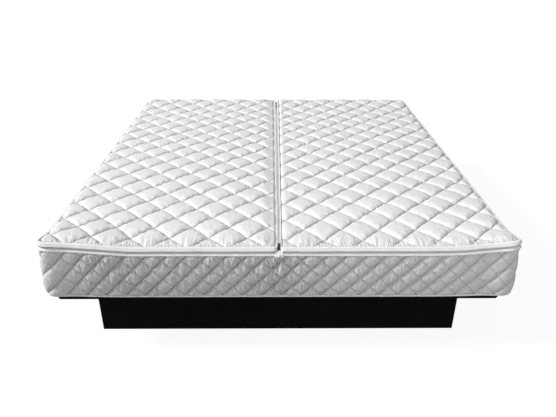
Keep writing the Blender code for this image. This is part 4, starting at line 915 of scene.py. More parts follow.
@dataclass
class QuiltedBorder:
    """The quilted cloth round the mattress: rows of small diamonds between the piping and the top binding."""

    cells: SewnCells
    finish: "Finish"
    pitch: float = 0.0755
    pitch_z: float = 0.0785
    crossing_s: float = 0.0455
    crossing_z: float = 0.4075
    grid_share: int = 19
    thickness: float = 0.010
    belly: float = 0.004
    puff: float = 0.0122
    pucker: float = 0.0040
    gather: float = 0.0030
    taut: float = 0.6
    pull_x: float = -0.0226
    pull_depth: float = 0.0050
    pull_half: float = 0.0042
    edge_roll: float = 0.007
    faint: float = 0.45
    faint_right: float = 0.35
    flat_right: float = 0.35
    corner_stand: float = 0.010
    sunk: float = 0.003

    def build(self) -> Piece:
        """Build the border as one closed ring on the base."""
        outline = RIM.line()
        whole = outline.length
        pitches = round(whole / self.pitch)
        columns = pitches * self.grid_share
        path = outline.even(columns, self.crossing_s)
        step_z = self.pitch_z / self.grid_share
        rows = lines_between(BORDER_BOTTOM, BORDER_TOP, self.crossing_z, step_z, (0, 0.002))
        quilting = Quilting(whole / pitches, self.pitch_z, 0, self.crossing_z)
        s, z = np.meshgrid(whole * np.arange(columns) / columns, rows, indexing="ij")
        u, v = quilting.seams(s, z)
        moved = self.cells.at(u % pitches, v % pitches, 90)
        around = s + self.crossing_s
        busy = self.busy(path.points)[:, None] * (0.8 + 0.2 * Lattice(92).at(around / 0.09, z / 0.09))
        slant = around + 0.15 * (z - BORDER_BOTTOM)
        folds = Lattice(91).folds(slant / 0.0135, z / 0.085) * self.pucker * busy
        folds += quilting.gathers(u, v, 93) * self.gather
        outset, roll = self.outsets(path, z, v, moved[..., 2], folds)
        rise = edge_rise(path.points)[:, None]
        share = (z - BORDER_BOTTOM) / BORDER_HEIGHT
        height = BORDER_BOTTOM + share * (BORDER_HEIGHT + rise) + moved[..., 1] * roll
        plan = path.points[:, None] + outset[..., None] * path.normals[:, None]
        outer = np.concatenate([plan, height[..., None]], 2)
        inner = path.points - self.thickness * path.normals
        top = np.concatenate([inner, BORDER_TOP + rise], 1)
        low = np.concatenate([inner, np.full_like(rise, BORDER_BOTTOM)], 1)
        points = np.concatenate([outer.reshape(-1, 3), top, low])
        count, column = len(rows), np.arange(columns)
        back = columns * count + column
        levels = [column * count + count - 1, back, back + columns, column * count]
        walls = [np.stack([a, b, np.roll(b, -1), np.roll(a, -1)], 1) for a, b in zip(levels, levels[1:])]
        uv = np.full((len(points), 2), 0.5)
        uv[:columns * count] = np.stack([u, v], -1).reshape(-1, 2)
        faces = [grid_triangles(u, v, True), *walls]
        border = make_piece("quilted_border", points, faces, uv, period=float(pitches))
        mark_gathers(border, 0 * busy, 0 * busy, busy)
        return finish_piece(border, self.finish, "base", "border_cover")

    def outsets(self, path: Path, z: Array, v: Array, cell: Array, folds: Array) -> tuple[Array, Array]:
        """Return how far the cloth stands out of the rim.

        It is belly * sin(pi * share of the height) + puff * cell + folds, sunk a little, and draws in to the
        seams above and below over the edge roll. A cell is partly a ridge between the seams of one family,
        where the other family is faint. By the corners the cloth is taut, so its cells are flat and its edge
        roll is short, and a pulled line runs down it by the middle of the foot.

        Args:
            path: The outline, one point per column.
            z: Heights on the even border.
            v: Second seam coordinates.
            cell: Heights of the cells, with 1 as their full height.
            folds: Heights of the puckers and gathers.

        Returns:
            The distances, and how far each point has rolled out of the seams, from 0 to 1.
        """
        x = path.points[:, :1]
        foot = ease(-path.points[:, 1:], 0.90, 0.96)
        share = (z - BORDER_BOTTOM) / BORDER_HEIGHT
        faint = self.faint + self.faint_right * foot * ease(x, 0.15, 0.70)
        ridge = full_profile(np.abs(np.sin(math.pi * v)), 1.8)
        puffy = cell * (1 - faint) + ridge * faint * (0.55 + 0.45 * cell)
        flatter = 1 - self.flat_right * foot * ease(x, 0.62, 0.85)
        wander = 0.003 * Lattice(95).at(z / 0.05, np.zeros_like(z))
        pull = foot * bell(x - self.pull_x - wander, self.pull_half)
        pull *= self.pull_depth * ease(z, BORDER_BOTTOM + 0.01, BORDER_BOTTOM + 0.04)
        soft = self.puff * puffy * flatter + folds - pull
        away = RIM.corner_distance(path.points)[:, None]
        taut = self.taut * (1 - ease(away, 0.03, 0.15))
        roll = rolled(np.minimum(z - BORDER_BOTTOM, BORDER_TOP - z) / (self.edge_roll * (1 - 0.8 * taut)))
        outset = self.belly * np.sin(math.pi * share) - self.sunk
        outset += roll * (soft * (1 - 0.5 * taut) + 0.4 * self.puff * taut)
        at_corner = self.taut * (1 - ease(away, 0.035, 0.13)) * (1 - ease(share, 0.2, 0.8))
        return outset + self.corner_stand * at_corner, roll

    def busy(self, points: Array) -> Array:
        """Return how wrinkled the border is at plan points, most from the foot's left corner to its middle.

        Args:
            points: Plan points of the outline.

        Returns:
            Strengths, one per point.
        """
        x = points[:, 0]
        front = ease(x, -0.86, -0.66) * (1 - 0.62 * ease(x, 0.0, 0.30)) * (1 - 0.7 * ease(x, 0.50, 0.75))
        front += 0.3 * bell(x + 0.01, 0.05)
        noise = 0.45 + 0.35 * Lattice(94).at((x + 3) / 0.3, (points[:, 1] + 3) / 0.3)
        share = 1 - ease(points[:, 1], -0.96, -0.90)
        return front * share + noise * (1 - share)


@dataclass
class Edging:
    """The folded tape bindings along the zip and the piping along the bottom seam."""

    tape: "Finish"
    cord: "Finish"
    spacing: float = 0.006
    waver: float = 0.0005
    pad_lean: float = 0.0085
    border_lean: float = 0.0110
    middle_slope: Pair = (0.0004, 0.0024)
    middle_extra: Pair = (-0.0018, -0.0045)
    widening: Pair = (0.0032, 0.0030)
    middle_rise: Pair = (-0.0021, 0.0008)
    middle_bulge: Pair = (0.0008, 0.0024)
    piping_radius: float = 0.0042
    piping_stand: float = 0.0048
    piping_level: float = 0.2818
    piping_sides: int = 10
    bulge: float = 0.0036
    zip_reach: float = 0.03

    def section(self, bottom: float, top: float, lips: Pair, lean: float,
                bulge: float) -> tuple[Array, Array]:
        """Return a folded tape's section as outsets and heights: a flat back and a full face that leans back.

        Args:
            bottom: Its lower edge.
            top: Its upper edge.
            lips: How far its face overhangs the zip below and above it, in front of the coils.
            lean: How far the face's foot stands out further than its head.
            bulge: How far its middle stands out from its edges.

        Returns:
            Outsets and heights.
        """
        angle = np.linspace(-math.pi / 2, math.pi / 2, 11)
        low, high = bottom - lips[0], top + lips[1]
        edge = -0.0027 if lean > 0 else -0.0003 - bulge
        face = bulge * np.abs(np.cos(angle)) ** 0.85 + edge + lean * (1 - np.sin(angle)) / 2
        outset = np.concatenate([[-BINDING_WIDTH, edge], face, [edge, -BINDING_WIDTH]])
        rising = (low + high) / 2 + np.sin(angle) * (high - low) / 2
        return outset, np.concatenate([[bottom, bottom], rising, [top, top]])

    def bind(self, name: str, path: Path, bottom: float, top: float, seed: int, lips: Pair,
             lean: float) -> Piece:
        """Carry the tape's section round a path, wavering a little as sewn tape does.

        Args:
            name: The piece's name.
            path: The closed line of its face.
            bottom: Its lower edge.
            top: Its upper edge.
            seed: Picks its waver.
            lips: How far its face overhangs the zip below and above it.
            lean: How far the face's foot stands out further than its head.

        Returns:
            The piece, not yet dressed.
        """
        whole = path.length
        path, s = path.spaced(self.spacing)
        side = int(np.mean(path.points[:, 0]) > 0)
        outset, height = self.section(bottom, top, lips, lean, self.bulge)
        upright, level = self.section(bottom, top, (0, 0), 0.0, self.middle_bulge[side])
        face, back = outset > -0.0026, outset < -0.0028
        upper = level > (bottom + top) / 2
        noise = Lattice(seed).at(s / 0.03, np.zeros((1, 1)))
        pinch = Lattice(seed + 1).at(s / 0.008, height[None] * 200)
        x, y = path.points[:, :1], path.points[:, 1:]
        by_zip = (np.abs(x) < self.zip_reach) * ease(np.abs(path.normals[:, :1]), 0.3, 0.95)
        outset, height = outset + (upright - outset) * by_zip, height + (level - height) * by_zip
        outset += face * self.waver * (noise + 0.5 * pinch) * (1 - by_zip)
        outset -= back * by_zip * (self.middle_extra[side] + self.widening[side] * (y + 1))
        height += face * 0.5 * self.waver * np.roll(noise, 7, 0)
        height += upper * by_zip * (self.middle_rise[side] - self.middle_slope[side] * face)
        rings = sweep(path, outset, height)
        return self.sewn(name, rings, s, np.linspace(0, 0.03, rings.shape[1]), whole)

    def sewn(self, name: str, rings: Array, s: Array, around: Array, whole: float) -> Piece:
        """Loft a closed tape or cord whose seam coordinates are the distances along it and round it."""
        return loft(name, rings, True, np.stack(np.broadcast_arrays(s, around[None]), -1), 60, whole)

    def build(self) -> None:
        """Build both pads' bindings, the border's binding and the piping."""
        for side, radius in ((Side.LEFT, 0.018), (Side.RIGHT, 0.010)):
            path = RIM.pad_line(side, 0.0050, radius)
            tape = self.bind(f"top_binding_{side.label}", path, PAD_BINDING_BOTTOM, PAD_BINDING_TOP,
                             20 + side.value, (0.0016, 0.0), self.pad_lean)
            finish_piece(tape, self.tape, f"cover_{side.label}", f"pad_binding_{side.label}")
        outline = RIM.line()
        tape = self.bind("border_tape", outline, BORDER_BINDING_BOTTOM, BORDER_BINDING_TOP, 25, (0.0, 0.0018),
                         self.border_lean)
        finish_piece(tape, self.tape, "base", "border_binding")
        path, s = outline.spaced(self.spacing)
        angle = np.arange(self.piping_sides) * math.tau / self.piping_sides
        radius = self.piping_radius * (1 + 0.04 * Lattice(27).at(s / 0.02, angle[None]) - 0.04)
        rings = sweep(path, radius * np.cos(angle) - self.piping_radius + self.piping_stand,
                      self.piping_level + radius * np.sin(angle), False)
        cord = self.sewn("piping", rings, s, angle * self.piping_radius, outline.length)
        finish_piece(cord, self.cord, "base", "bottom_piping")


@dataclass
class EndTab:
    """The white end of the middle zip's tape: folded over the perimeter zip at the foot and sewn down."""

    tape: "Finish"
    half_width: float = 0.0150
    thickness: float = 0.0008
    steps: int = 33
    line: tuple[Pair, ...] = (
        (-1.0035, 0.4850), (-1.0100, 0.4852), (-1.0140, 0.4835), (-1.0165, 0.4790), (-1.0190, 0.4740),
        (-1.0205, 0.4690), (-1.0215, 0.4650))

    def build(self) -> Piece:
        """Build the tab as a thin strip that runs forward over the zip and down the tape.

        The line is carried across with ragged edges, and where it hangs, sharp and soft noise lifts it along
        its normal, which crumples it.
        """
        line = np.array(self.line)
        place = np.concatenate([[0], np.cumsum(np.linalg.norm(np.diff(line, axis=0), axis=1))])
        along = np.linspace(0, place[-1], 27)
        middle = np.stack([np.interp(along, place, column) for column in line.T], 1)
        ahead = np.gradient(middle, axis=0)
        normal = np.stack([ahead[:, 1], -ahead[:, 0]], 1)
        normal /= np.linalg.norm(normal, axis=1, keepdims=True)
        across = np.linspace(-1, 1, self.steps)
        ragged = 1 + 0.25 * Lattice(61).at(along[:, None] / 0.006, np.sign(across)[None] * 3)
        x = across[None] * self.half_width * ragged
        hanging = ease(along, 0.010, 0.016)[:, None]
        crumple = Lattice(62).folds(x / 0.0055 + 9, along[:, None] / 0.011) * 0.0016 * hanging
        crumple += Lattice(63).at(x / 0.012 + 5, along[:, None] / 0.009) * 0.0010 * hanging
        sides = []
        for half in (1, -1):
            lift = crumple + half * self.thickness / 2
            y, z = middle[:, :1] + lift * normal[:, :1], middle[:, 1:] + lift * normal[:, 1:]
            sides.append(np.stack([x, y, z], -1))
        rings = np.concatenate([sides[0], sides[1][:, ::-1]], 1)
        uv = np.broadcast_to(np.stack([along, 0 * along + 0.03], -1)[:, None], (*rings.shape[:2], 2))
        return finish_piece(loft("zip_end_tab", rings, False, uv, 80), self.tape, "base")


@dataclass
class ZipCoils:
    """The zip's coils: cords ribbed by their turns, two steps to a turn."""

    finish: "Finish"
    middle_finish: "Finish"
    turn: float = 0.0025
    breadth: float = 0.00175
    depth: float = 0.0015
    set_back: float = 0.0045
    lower_level: float = 0.48155
    upper_level: float = 0.48665
    middle_reach: Pair = (-0.972, 0.980)
    middle_place: Pair = (0.00255, 0.4962)
    rib: float = 0.25
    middle_rib: float = 0.10
    sides: int = 6

    def coil(self, name: str, path: Path, place: Pair, half: Pair, rib: float, raised: bool) -> Piece:
        """Carry a coil along a path: every second ring is smaller, which makes the turns.

        Args:
            name: The piece's name.
            path: The line that the coil follows.
            place: How far out of the line its middle lies, and how high.
            half: Half its size out of the line, and half its height.
            rib: How much smaller every second ring is.
            raised: Whether it rises with the bed's top edge.

        Returns:
            The piece, not yet dressed.
        """
        count = 2 * round(path.length / self.turn)
        path = path.even(count)
        angle = np.arange(self.sides) * math.tau / self.sides
        size = np.where(np.arange(count) % 2 == 0, 1.0, 1 - rib)[:, None]
        outset = place[0] + half[0] * size * np.cos(angle)
        height = place[1] + half[1] * size * np.sin(angle)
        return loft(name, sweep(path, outset, height, raised), path.closed, None, 180)

    def build(self) -> None:
        """Build the border's coil, the pads' two coils above it and the two that lie flat in the middle."""
        whole, half = RIM.line(), (self.depth, self.breadth)
        lower = self.coil("zip_coil_lower", whole, (-self.set_back, self.lower_level), half, self.rib, True)
        finish_piece(lower, self.finish, "base", "perimeter_zip_lower")
        for side in Side:
            way = side.value
            line = whole.even(4000, whole.length / 2 * (way < 0))
            keep = line.points[:, 0] * way > 0.045
            path = Path(line.points[keep], line.normals[keep], False)
            upper = self.coil(f"zip_coil_upper_{side.label}", path, (-self.set_back, self.upper_level), half,
                              self.rib, True)
            finish_piece(upper, self.finish, f"cover_{side.label}", f"perimeter_zip_upper_{side.label}")
            middle = Path(np.array([[0.0, y] for y in self.middle_reach]), np.array([[way, 0.0]] * 2), False)
            coil = self.coil(f"zip_coil_centre_{side.label}", middle, self.middle_place, half[::-1],
                             self.middle_rib, False)
            finish_piece(coil, self.middle_finish, f"cover_{side.label}", f"centre_zip_{side.label}")


@dataclass
class FoamBlock:
    """A cut foam block: a rectangle at each level, narrower above, with its edges worn round."""

    name: str
    node: str
    finish: "Finish"
    bottom: tuple[float, float, float, float, float]
    top: tuple[float, float, float, float, float]
    radii: tuple[float, float, float, float] = (0.005, 0.005, 0.005, 0.005)
    edge: float = 0.004
    fill: float = 0.95

    def build(self) -> Piece:
        """Build the block through levels, each drawn in by edge * (1 - sin) near the top and bottom.

        The bottom and top hold a level and the low X, high X, low Y and high Y there.
        """
        angle = np.linspace(0, math.pi / 2, 4)
        drawn, depth = self.edge * (1 - np.sin(angle)), self.edge * (1 - np.cos(angle))
        low, high = np.array(self.bottom), np.array(self.top)
        between = np.linspace(low[0] + 0.02, high[0] - 0.02, 6)
        levels = np.concatenate([low[0] + depth, between, high[0] - depth[::-1]])
        insets = np.concatenate([drawn, 0 * between, drawn[::-1]])
        rings = []
        for level, inset in zip(levels, insets):
            spans = low + (high - low) * (level - low[0]) / (high[0] - low[0])
            corners = (spans[1] + inset, spans[3] + inset), (spans[2] - inset, spans[4] - inset)
            radii = tuple(max(radius - inset, MM) for radius in self.radii)
            rings.append(at_level(rounded_outline(*corners, radii), level))
        block = loft(self.name, np.array(rings), False, None, 70)
        return finish_piece(block, self.finish, "base", self.node)


@dataclass
class Surround:
    """The foam rails round the water cores, the wedge between the cores and the insulating sheet below."""

    rail: "Finish"
    wedge: "Finish"
    sheet: "Finish"
    half_x: float = 0.8897
    half_y: float = 0.9897
    wide: float = 0.140
    narrow: float = 0.090
    corners: Pair = (0.055, 0.005)
    sheet_thickness: float = 0.010
    heater_x: Pair = (0.2620, 0.5426)
    heater_y: Pair = (-0.2004, 0.5004)
    gland_x: Pair = (0.389, 0.415)
    gland_y: Pair = (0.4825, 0.5178)
    heater_depth: float = 0.0033
    gland_depth: float = 0.0088

    def build(self) -> None:
        """Build the four rails, wide below and narrow above, the wedge and the sheet."""
        x, y = self.half_x, self.half_y
        widths = ((FOAM_BOTTOM, self.wide), (FOAM_TOP, self.narrow))
        for side in Side:
            way = side.value
            high_x, low_x = self.corners[::way]
            spans = [(level, *sorted((way * x, way * (x - width))), -y, y) for level, width in widths]
            FoamBlock(f"foam_side_{side.label}", f"foam_rail_{side.label}", self.rail, *spans,
                      (high_x, low_x, low_x, high_x)).build()
        for end in End:
            way = end.value
            spans = [(level, width + SEAT_GAP - x, x - width - SEAT_GAP,
                      *sorted((way * y, way * (y - width)))) for level, width in widths]
            FoamBlock(f"foam_end_{end.label}", f"foam_rail_{end.label}", self.rail, *spans).build()
        FoamBlock("foam_wedge", "foam_divider", self.wedge, (CORE_BOTTOM, -0.055, 0.055, -0.850, 0.850),
                  (CORE_TOP, -0.015, 0.015, -0.8974, 0.8974), edge=0.003).build()
        self.insulation()

    def insulation(self) -> Piece:
        """Build the thin sheet, pressed down under the two heaters and deeper at their glands."""
        x, y = self.half_x - self.wide - SEAT_GAP, self.half_y - self.wide - SEAT_GAP
        (near, far), (foot, head) = self.heater_x, self.heater_y
        steps = (-far, -near, near, far)
        glands = [way * gland for way in (-1, 1) for gland in self.gland_x]
        lines_x = np.unique([*np.linspace(-x, x, 61), *steps, *(np.array(steps) + MM), *glands])
        lines_y = np.unique([*np.linspace(-y, y, 69), foot, foot + MM, head, head + MM, *self.gland_y])
        plan_x, plan_y = np.meshgrid(lines_x, lines_y, indexing="ij")
        under = (np.abs(plan_x) > near) & (np.abs(plan_x) < far + MM) & (plan_y > foot) & (plan_y < head + MM)
        gland = (np.abs(np.abs(plan_x) - np.mean(self.gland_x)) < 0.0135) & (np.abs(plan_y - 0.500) < 0.018)
        sunk = np.where(gland, self.gland_depth, np.where(under, self.heater_depth, 0))
        level = FOAM_BOTTOM + self.sheet_thickness - sunk
        level -= 0.0004 * (1 + Lattice(31).at(plan_x / 0.03, plan_y / 0.03)) * (sunk == 0)
        upper = np.stack([plan_x, plan_y, level], -1)
        lower = np.stack([plan_x, plan_y, np.full_like(plan_x, FOAM_BOTTOM)], -1)
        uv = np.stack([plan_x, plan_y], -1)
        sheet = closed_pad("insulating_sheet", upper, lower, uv)
        return finish_piece(sheet, self.sheet, "base", "bottom_insulation")


@dataclass
class LaidSheets:
    """The two thin sheets: the safety liner's tray and the dark cloth that closes the cover underneath."""

    vinyl: "Finish"
    cloth: "Finish"
    floor_half: Pair = (0.7494, 0.8494)
    mouth_out: float = 0.05
    wall_rise: float = 0.1785
    lip: float = 0.055
    cloth_level: float = 0.2776
    cloth_thickness: float = 0.002
    cloth_inset: float = 0.0073

    def build(self) -> None:
        """Build the liner and the base cloth."""
        self.liner()
        self.base_cloth()

    def liner(self) -> None:
        """Build the tray through round-cornered rectangles: its floor, its sloping walls and its flat lip."""
        floor = np.array(self.floor_half)
        mouth, lip_level = floor + self.mouth_out, LIP_BOTTOM + LINER_WALL
        levels = [(LINER_BOTTOM, floor - 0.02), (LINER_BOTTOM, floor - 0.004),
                  (LINER_BOTTOM + 0.004, floor + MM)]
        levels += [(LINER_BOTTOM + share * self.wall_rise, floor + share * self.mouth_out)
                   for share in (0.2, 0.4, 0.6, 0.8, 0.97)]
        levels += [(lip_level, mouth + out) for out in (MM, 0.004, self.lip)]
        rings = np.array([at_level(rounded_outline(tuple(-half), tuple(half), (0.02,) * 4, 5), level)
                          for level, half in levels])
        skin, caps = ring_faces(*rings.shape[:2], False)
        liner = make_piece("liner_tray", rings.reshape(-1, 3), [skin, caps[:1]])
        area = face_up(liner)
        add_wall(liner, LINER_WALL)
        finish_piece(liner, self.vinyl, "base", "safety_liner")

    def base_cloth(self) -> None:
        """Build the cloth as one flat face inside the bed's outline."""
        path = RIM.line().even(240)
        outline = path.points - self.cloth_inset * path.normals
        points = at_level(outline, self.cloth_level + self.cloth_thickness)
        cloth = make_piece("base_sheet", points, [np.arange(len(points))[None]])
        area = face_up(cloth)
        add_wall(cloth, self.cloth_thickness)
        finish_piece(cloth, self.cloth, "base", "base_cloth")


@dataclass
class WaterCore:
    """One half's vinyl bladder: a full, slightly wrinkled bag with a sunk valve, and the fleece inside it."""

    side: Side
    vinyl: "Finish"
    fleece: "Finish"
    near_top: float = 0.0156
    near_low: float = 0.0556
    far_top: float = 0.7971
    far_low: float = 0.7477
    reach_top: float = 0.8971
    reach_low: float = 0.8477
    corner: float = 0.045
    shoulder: float = 0.045
    valve_x: float = 0.40637
    valve_y: float = -0.55714
    valve_radius: float = 0.030
    valve_depth: float = 0.0213
    dimple: float = 0.0215
    dimple_reach: float = 0.066
    edge_drop: float = 0.024
    fold: float = 0.0035
    sag: float = 0.002
    gap: float = 0.004
    columns: int = 92
    rows: int = 206
    bulge: tuple[Pair, ...] = ((0.05, 0.0030), (0.15, 0.0038), (0.35, 0.0030), (0.6, 0.0025), (0.9, 0.0020))
    fleece_x: Pair = (0.0680, 0.7350)
    fleece_half_y: float = 0.835
    fleece_levels: Pair = (0.2928, 0.3528)

    def heights(self, x: Array, y: Array, depth: Array, slack: Array) -> Array:
        """Return the top's heights: flat, rounded off over the shoulder, slack, and sunk to the valve's seat.

        Round the valve folds run out like rays: noise that is short round the valve and long away from it.

        Args:
            x: Distances from the middle line.
            y: Places along the bed.
            depth: Distances in from the bag's edge.
            slack: How far the vinyl hangs below its full height.

        Returns:
            Heights in the same shape.
        """
        away = np.hypot(x - self.valve_x, y - self.valve_y)
        turn = np.arctan2(y - self.valve_y, x - self.valve_x)
        rays = Lattice(50 + self.side.value).folds(turn * 4.2 + 30, away / 0.2)
        rays *= np.exp(-away / 0.09) * ease(away, 0.03, 0.055)
        height = CORE_TOP - self.edge_drop * (1 - rolled(depth / self.shoulder)) - slack
        height = np.minimum(height - self.fold * (1 - rays) * np.exp(-away / 0.12), CORE_TOP)
        height -= self.dimple * (1 - ease(away, self.valve_radius, self.dimple_reach))
        floor = CORE_TOP - self.valve_depth
        return np.where(away < self.valve_radius, floor, np.maximum(height, floor - 0.0005))

    def build(self) -> None:
        """Build the bag as a 1 mm shell, slack in folds square to its rim, and the fleece."""
        way, label = self.side.value, self.side.label
        lines_x = np.linspace(self.near_top + self.gap, self.far_top - self.gap, self.columns)
        lines_y = np.linspace(self.gap - self.reach_top, self.reach_top - self.gap, self.rows)
        x, y = np.meshgrid(lines_x, lines_y, indexing="ij")
        middle_x, half_x, half_y = (lines_x[0] + lines_x[-1]) / 2, np.ptp(lines_x) / 2, lines_y[-1]
        side_x = np.abs(x - middle_x)
        shift_x, shift_y = arc_shift(side_x - half_x + self.corner, np.abs(y) - half_y + self.corner)
        plan_x, plan_y = x + np.sign(x - middle_x) * shift_x, y + np.sign(y) * shift_y
        depth = np.minimum(half_x - side_x, half_y - np.abs(y))
        noise = Lattice(50 + way)
        rim = noise.folds(np.where(np.abs(y) > side_x + half_y - half_x, x, y) / 0.07, depth / 0.3)
        slack = self.fold * (1 - rim) * np.exp(-depth / 0.07)
        slack += self.sag * (1 - noise.folds(x / 0.23, y / 0.31))
        top = np.stack([way * plan_x, plan_y, self.heights(plan_x, plan_y, depth, slack)], -1)
        share_x = (plan_x - self.near_top) / (self.far_top - self.near_top)
        low_x = self.near_low + self.gap + share_x * (self.far_low - self.near_low - 2 * self.gap)
        low_y = plan_y * self.reach_low / self.reach_top
        low = np.stack([way * low_x, low_y, np.full_like(x, CORE_BOTTOM + 0.0005)], -1)
        wall = tuple((share, way * out) for share, out in self.bulge)
        bag = closed_pad(f"water_bag_{label}", top, low, np.stack([plan_x, plan_y], -1), wall, 6)
        add_wall(bag, LINER_WALL)
        finish_piece(bag, self.vinyl, "base", f"vinyl_core_{label}")
        spans = (*sorted(way * x for x in self.fleece_x), -self.fleece_half_y, self.fleece_half_y)
        FoamBlock(f"fleece_{label}", f"fleece_mat_{label}", self.fleece,
                  *((level, *spans) for level in self.fleece_levels),
                  radii=(0.035,) * 4, edge=0.012, fill=0.6).build()


# ---- finishes


class Graph:
    """A material's or a world's node tree, with short ways to add nodes to it."""

    def __init__(self, made: bpy.types.Material | bpy.types.World) -> None:
        """Start from the tree that the material or world has."""
        made.use_nodes = True
        self.made = made
        self.tree = made.node_tree
        self.shader = self.tree.nodes.get("Principled BSDF") or self.tree.nodes["Background"]
        self.places: dict[Triple, Socket] = {}

    def put(self, socket: Socket, value: object) -> None:
        """Link a socket to another node's output, or set its number or colour."""
        if isinstance(value, Socket):
            self.tree.links.new(value, socket)
        else:
            socket.default_value = value

    def node(self, kind: str, inputs: dict, output: int | str = 0, **settings: object) -> Socket:
        """Add a node and return one of its outputs.

        Args:
            kind: The node's type after "ShaderNode".
            inputs: Values or outputs for its inputs, by number or name.
            output: Which output to return.
            settings: The node's own properties.

        Returns:
            The output socket.
        """
        node = self.tree.nodes.new("ShaderNode" + kind)
        for key, value in settings.items():
            setattr(node, key, value)
        for key, value in inputs.items():
            self.put(node.inputs[key], value)
        return node.outputs[output]

    def place(self, stretch: Triple = (1, 1, 1)) -> Socket:
        """Return Object coordinates, stretched, from one node per stretch."""
        if stretch not in self.places:
            self.places[stretch] = self.node("Mapping", {0: self.node("TexCoord", {}, "Object"), 3: stretch})
        return self.places[stretch]

    def split(self, vector: Socket) -> list[Socket]:
        """Return a vector's three parts."""
        node = self.tree.nodes.new("ShaderNodeSeparateXYZ")
        self.put(node.inputs[0], vector)
        return list(node.outputs)

    def seams(self) -> list[Socket]:
        """Return the two coordinates of the piece's own UV map."""
        return self.split(self.node("UVMap", {}, uv_map="seams"))[:2]

    def math(self, operation: str, *values: object) -> Socket:
        """Return a sum, product or other function of numbers."""
        return self.node("Math", dict(enumerate(values)), operation=operation)

    def noise(self, scale: float, detail: float = 3.0, rough: float = 0.55,
              stretch: Triple = (1, 1, 1)) -> Socket:
        """Return fractal noise from 0 to 1 over the piece's stretched place."""
        place = self.place(stretch)
        return self.node("TexNoise", {"Vector": place, "Scale": scale, "Detail": detail, "Roughness": rough})

    def pits(self, scale: float) -> Socket:
        """Return the distance to the nearest of many scattered points."""
        return self.node("TexVoronoi", {"Vector": self.place(), "Scale": scale})

    def step(self, value: Socket, low: float, high: float, to_low: float = 0.0,
             to_high: float = 1.0) -> Socket:
        """Return a smooth step of a number between two levels."""
        return self.node("MapRange", {0: value, 1: low, 2: high, 3: to_low, 4: to_high},
                         interpolation_type="SMOOTHSTEP")

    def patches(self, scale: float, low: float = 0.3, high: float = 0.7, to_low: float = 0.0,
                to_high: float = 1.0, **noise: object) -> Socket:
        """Return soft patches: noise that steps between two levels."""
        return self.step(self.noise(scale, **noise), low, high, to_low, to_high)

    def blend(self, share: object, first: object, second: object, way: str = "MIX") -> Socket:
        """Return a mix of two colours."""
        colours = [(*x, 1.0) if isinstance(x, tuple) else x for x in (first, second)]
        return self.node("Mix", {0: share, 6: colours[0], 7: colours[1]}, 2, data_type="RGBA", blend_type=way)

    def bump(self, *layers: tuple[Socket, float]) -> None:
        """Give the shader bump from layers of height, each with its depth in metres."""
        normal = None
        for height, depth in layers:
            inputs = {"Strength": 1.0, "Distance": depth, "Height": height}
            if normal is not None:
                inputs["Normal"] = normal
            normal = self.node("Bump", inputs)
        self.put(self.shader.inputs["Normal"], normal)

    def dress(self, **inputs: object) -> bpy.types.Material | bpy.types.World:
        """Set the shader's inputs by name, with underscores for spaces, and return what it belongs to."""
        for key, value in inputs.items():
            value = (*value, 1.0) if isinstance(value, tuple) and len(value) == 3 else value
            self.put(self.shader.inputs[key.replace("_", " ")], value)
        return self.made


@dataclass(frozen=True)
class Finish:
    """A finish: the record's slot that it is for, its colour and its roughness."""

    slot: str
    colour: Triple
    roughness: float = 0.8

    def material(self) -> bpy.types.Material:
        """Return the finish's material, made once."""
        name = f"{self.slot}_{type(self).__name__.lower()}"
        return bpy.data.materials.get(name) or self.make(Graph(bpy.data.materials.new(name)))

    def shade(self, share: float) -> Triple:
        """Return the colour, darker by a share."""
        return tuple(share * value for value in self.colour)

    def toned(self, graph: Graph, share: Socket, dark: float) -> Socket:
        """Return the colour where a share is 1, darker towards 0."""
        return graph.blend(share, self.shade(dark), self.colour)

    def gloss(self, graph: Graph, scale: float, less: float, more: float) -> Socket:
        """Return the roughness, a little less and more in patches."""
        return graph.patches(scale, to_low=self.roughness - less, to_high=self.roughness + more)

    def make(self, graph: Graph) -> bpy.types.Material:
        """Build the nodes in a new graph; each kind of finish has its own."""
        raise NotImplementedError


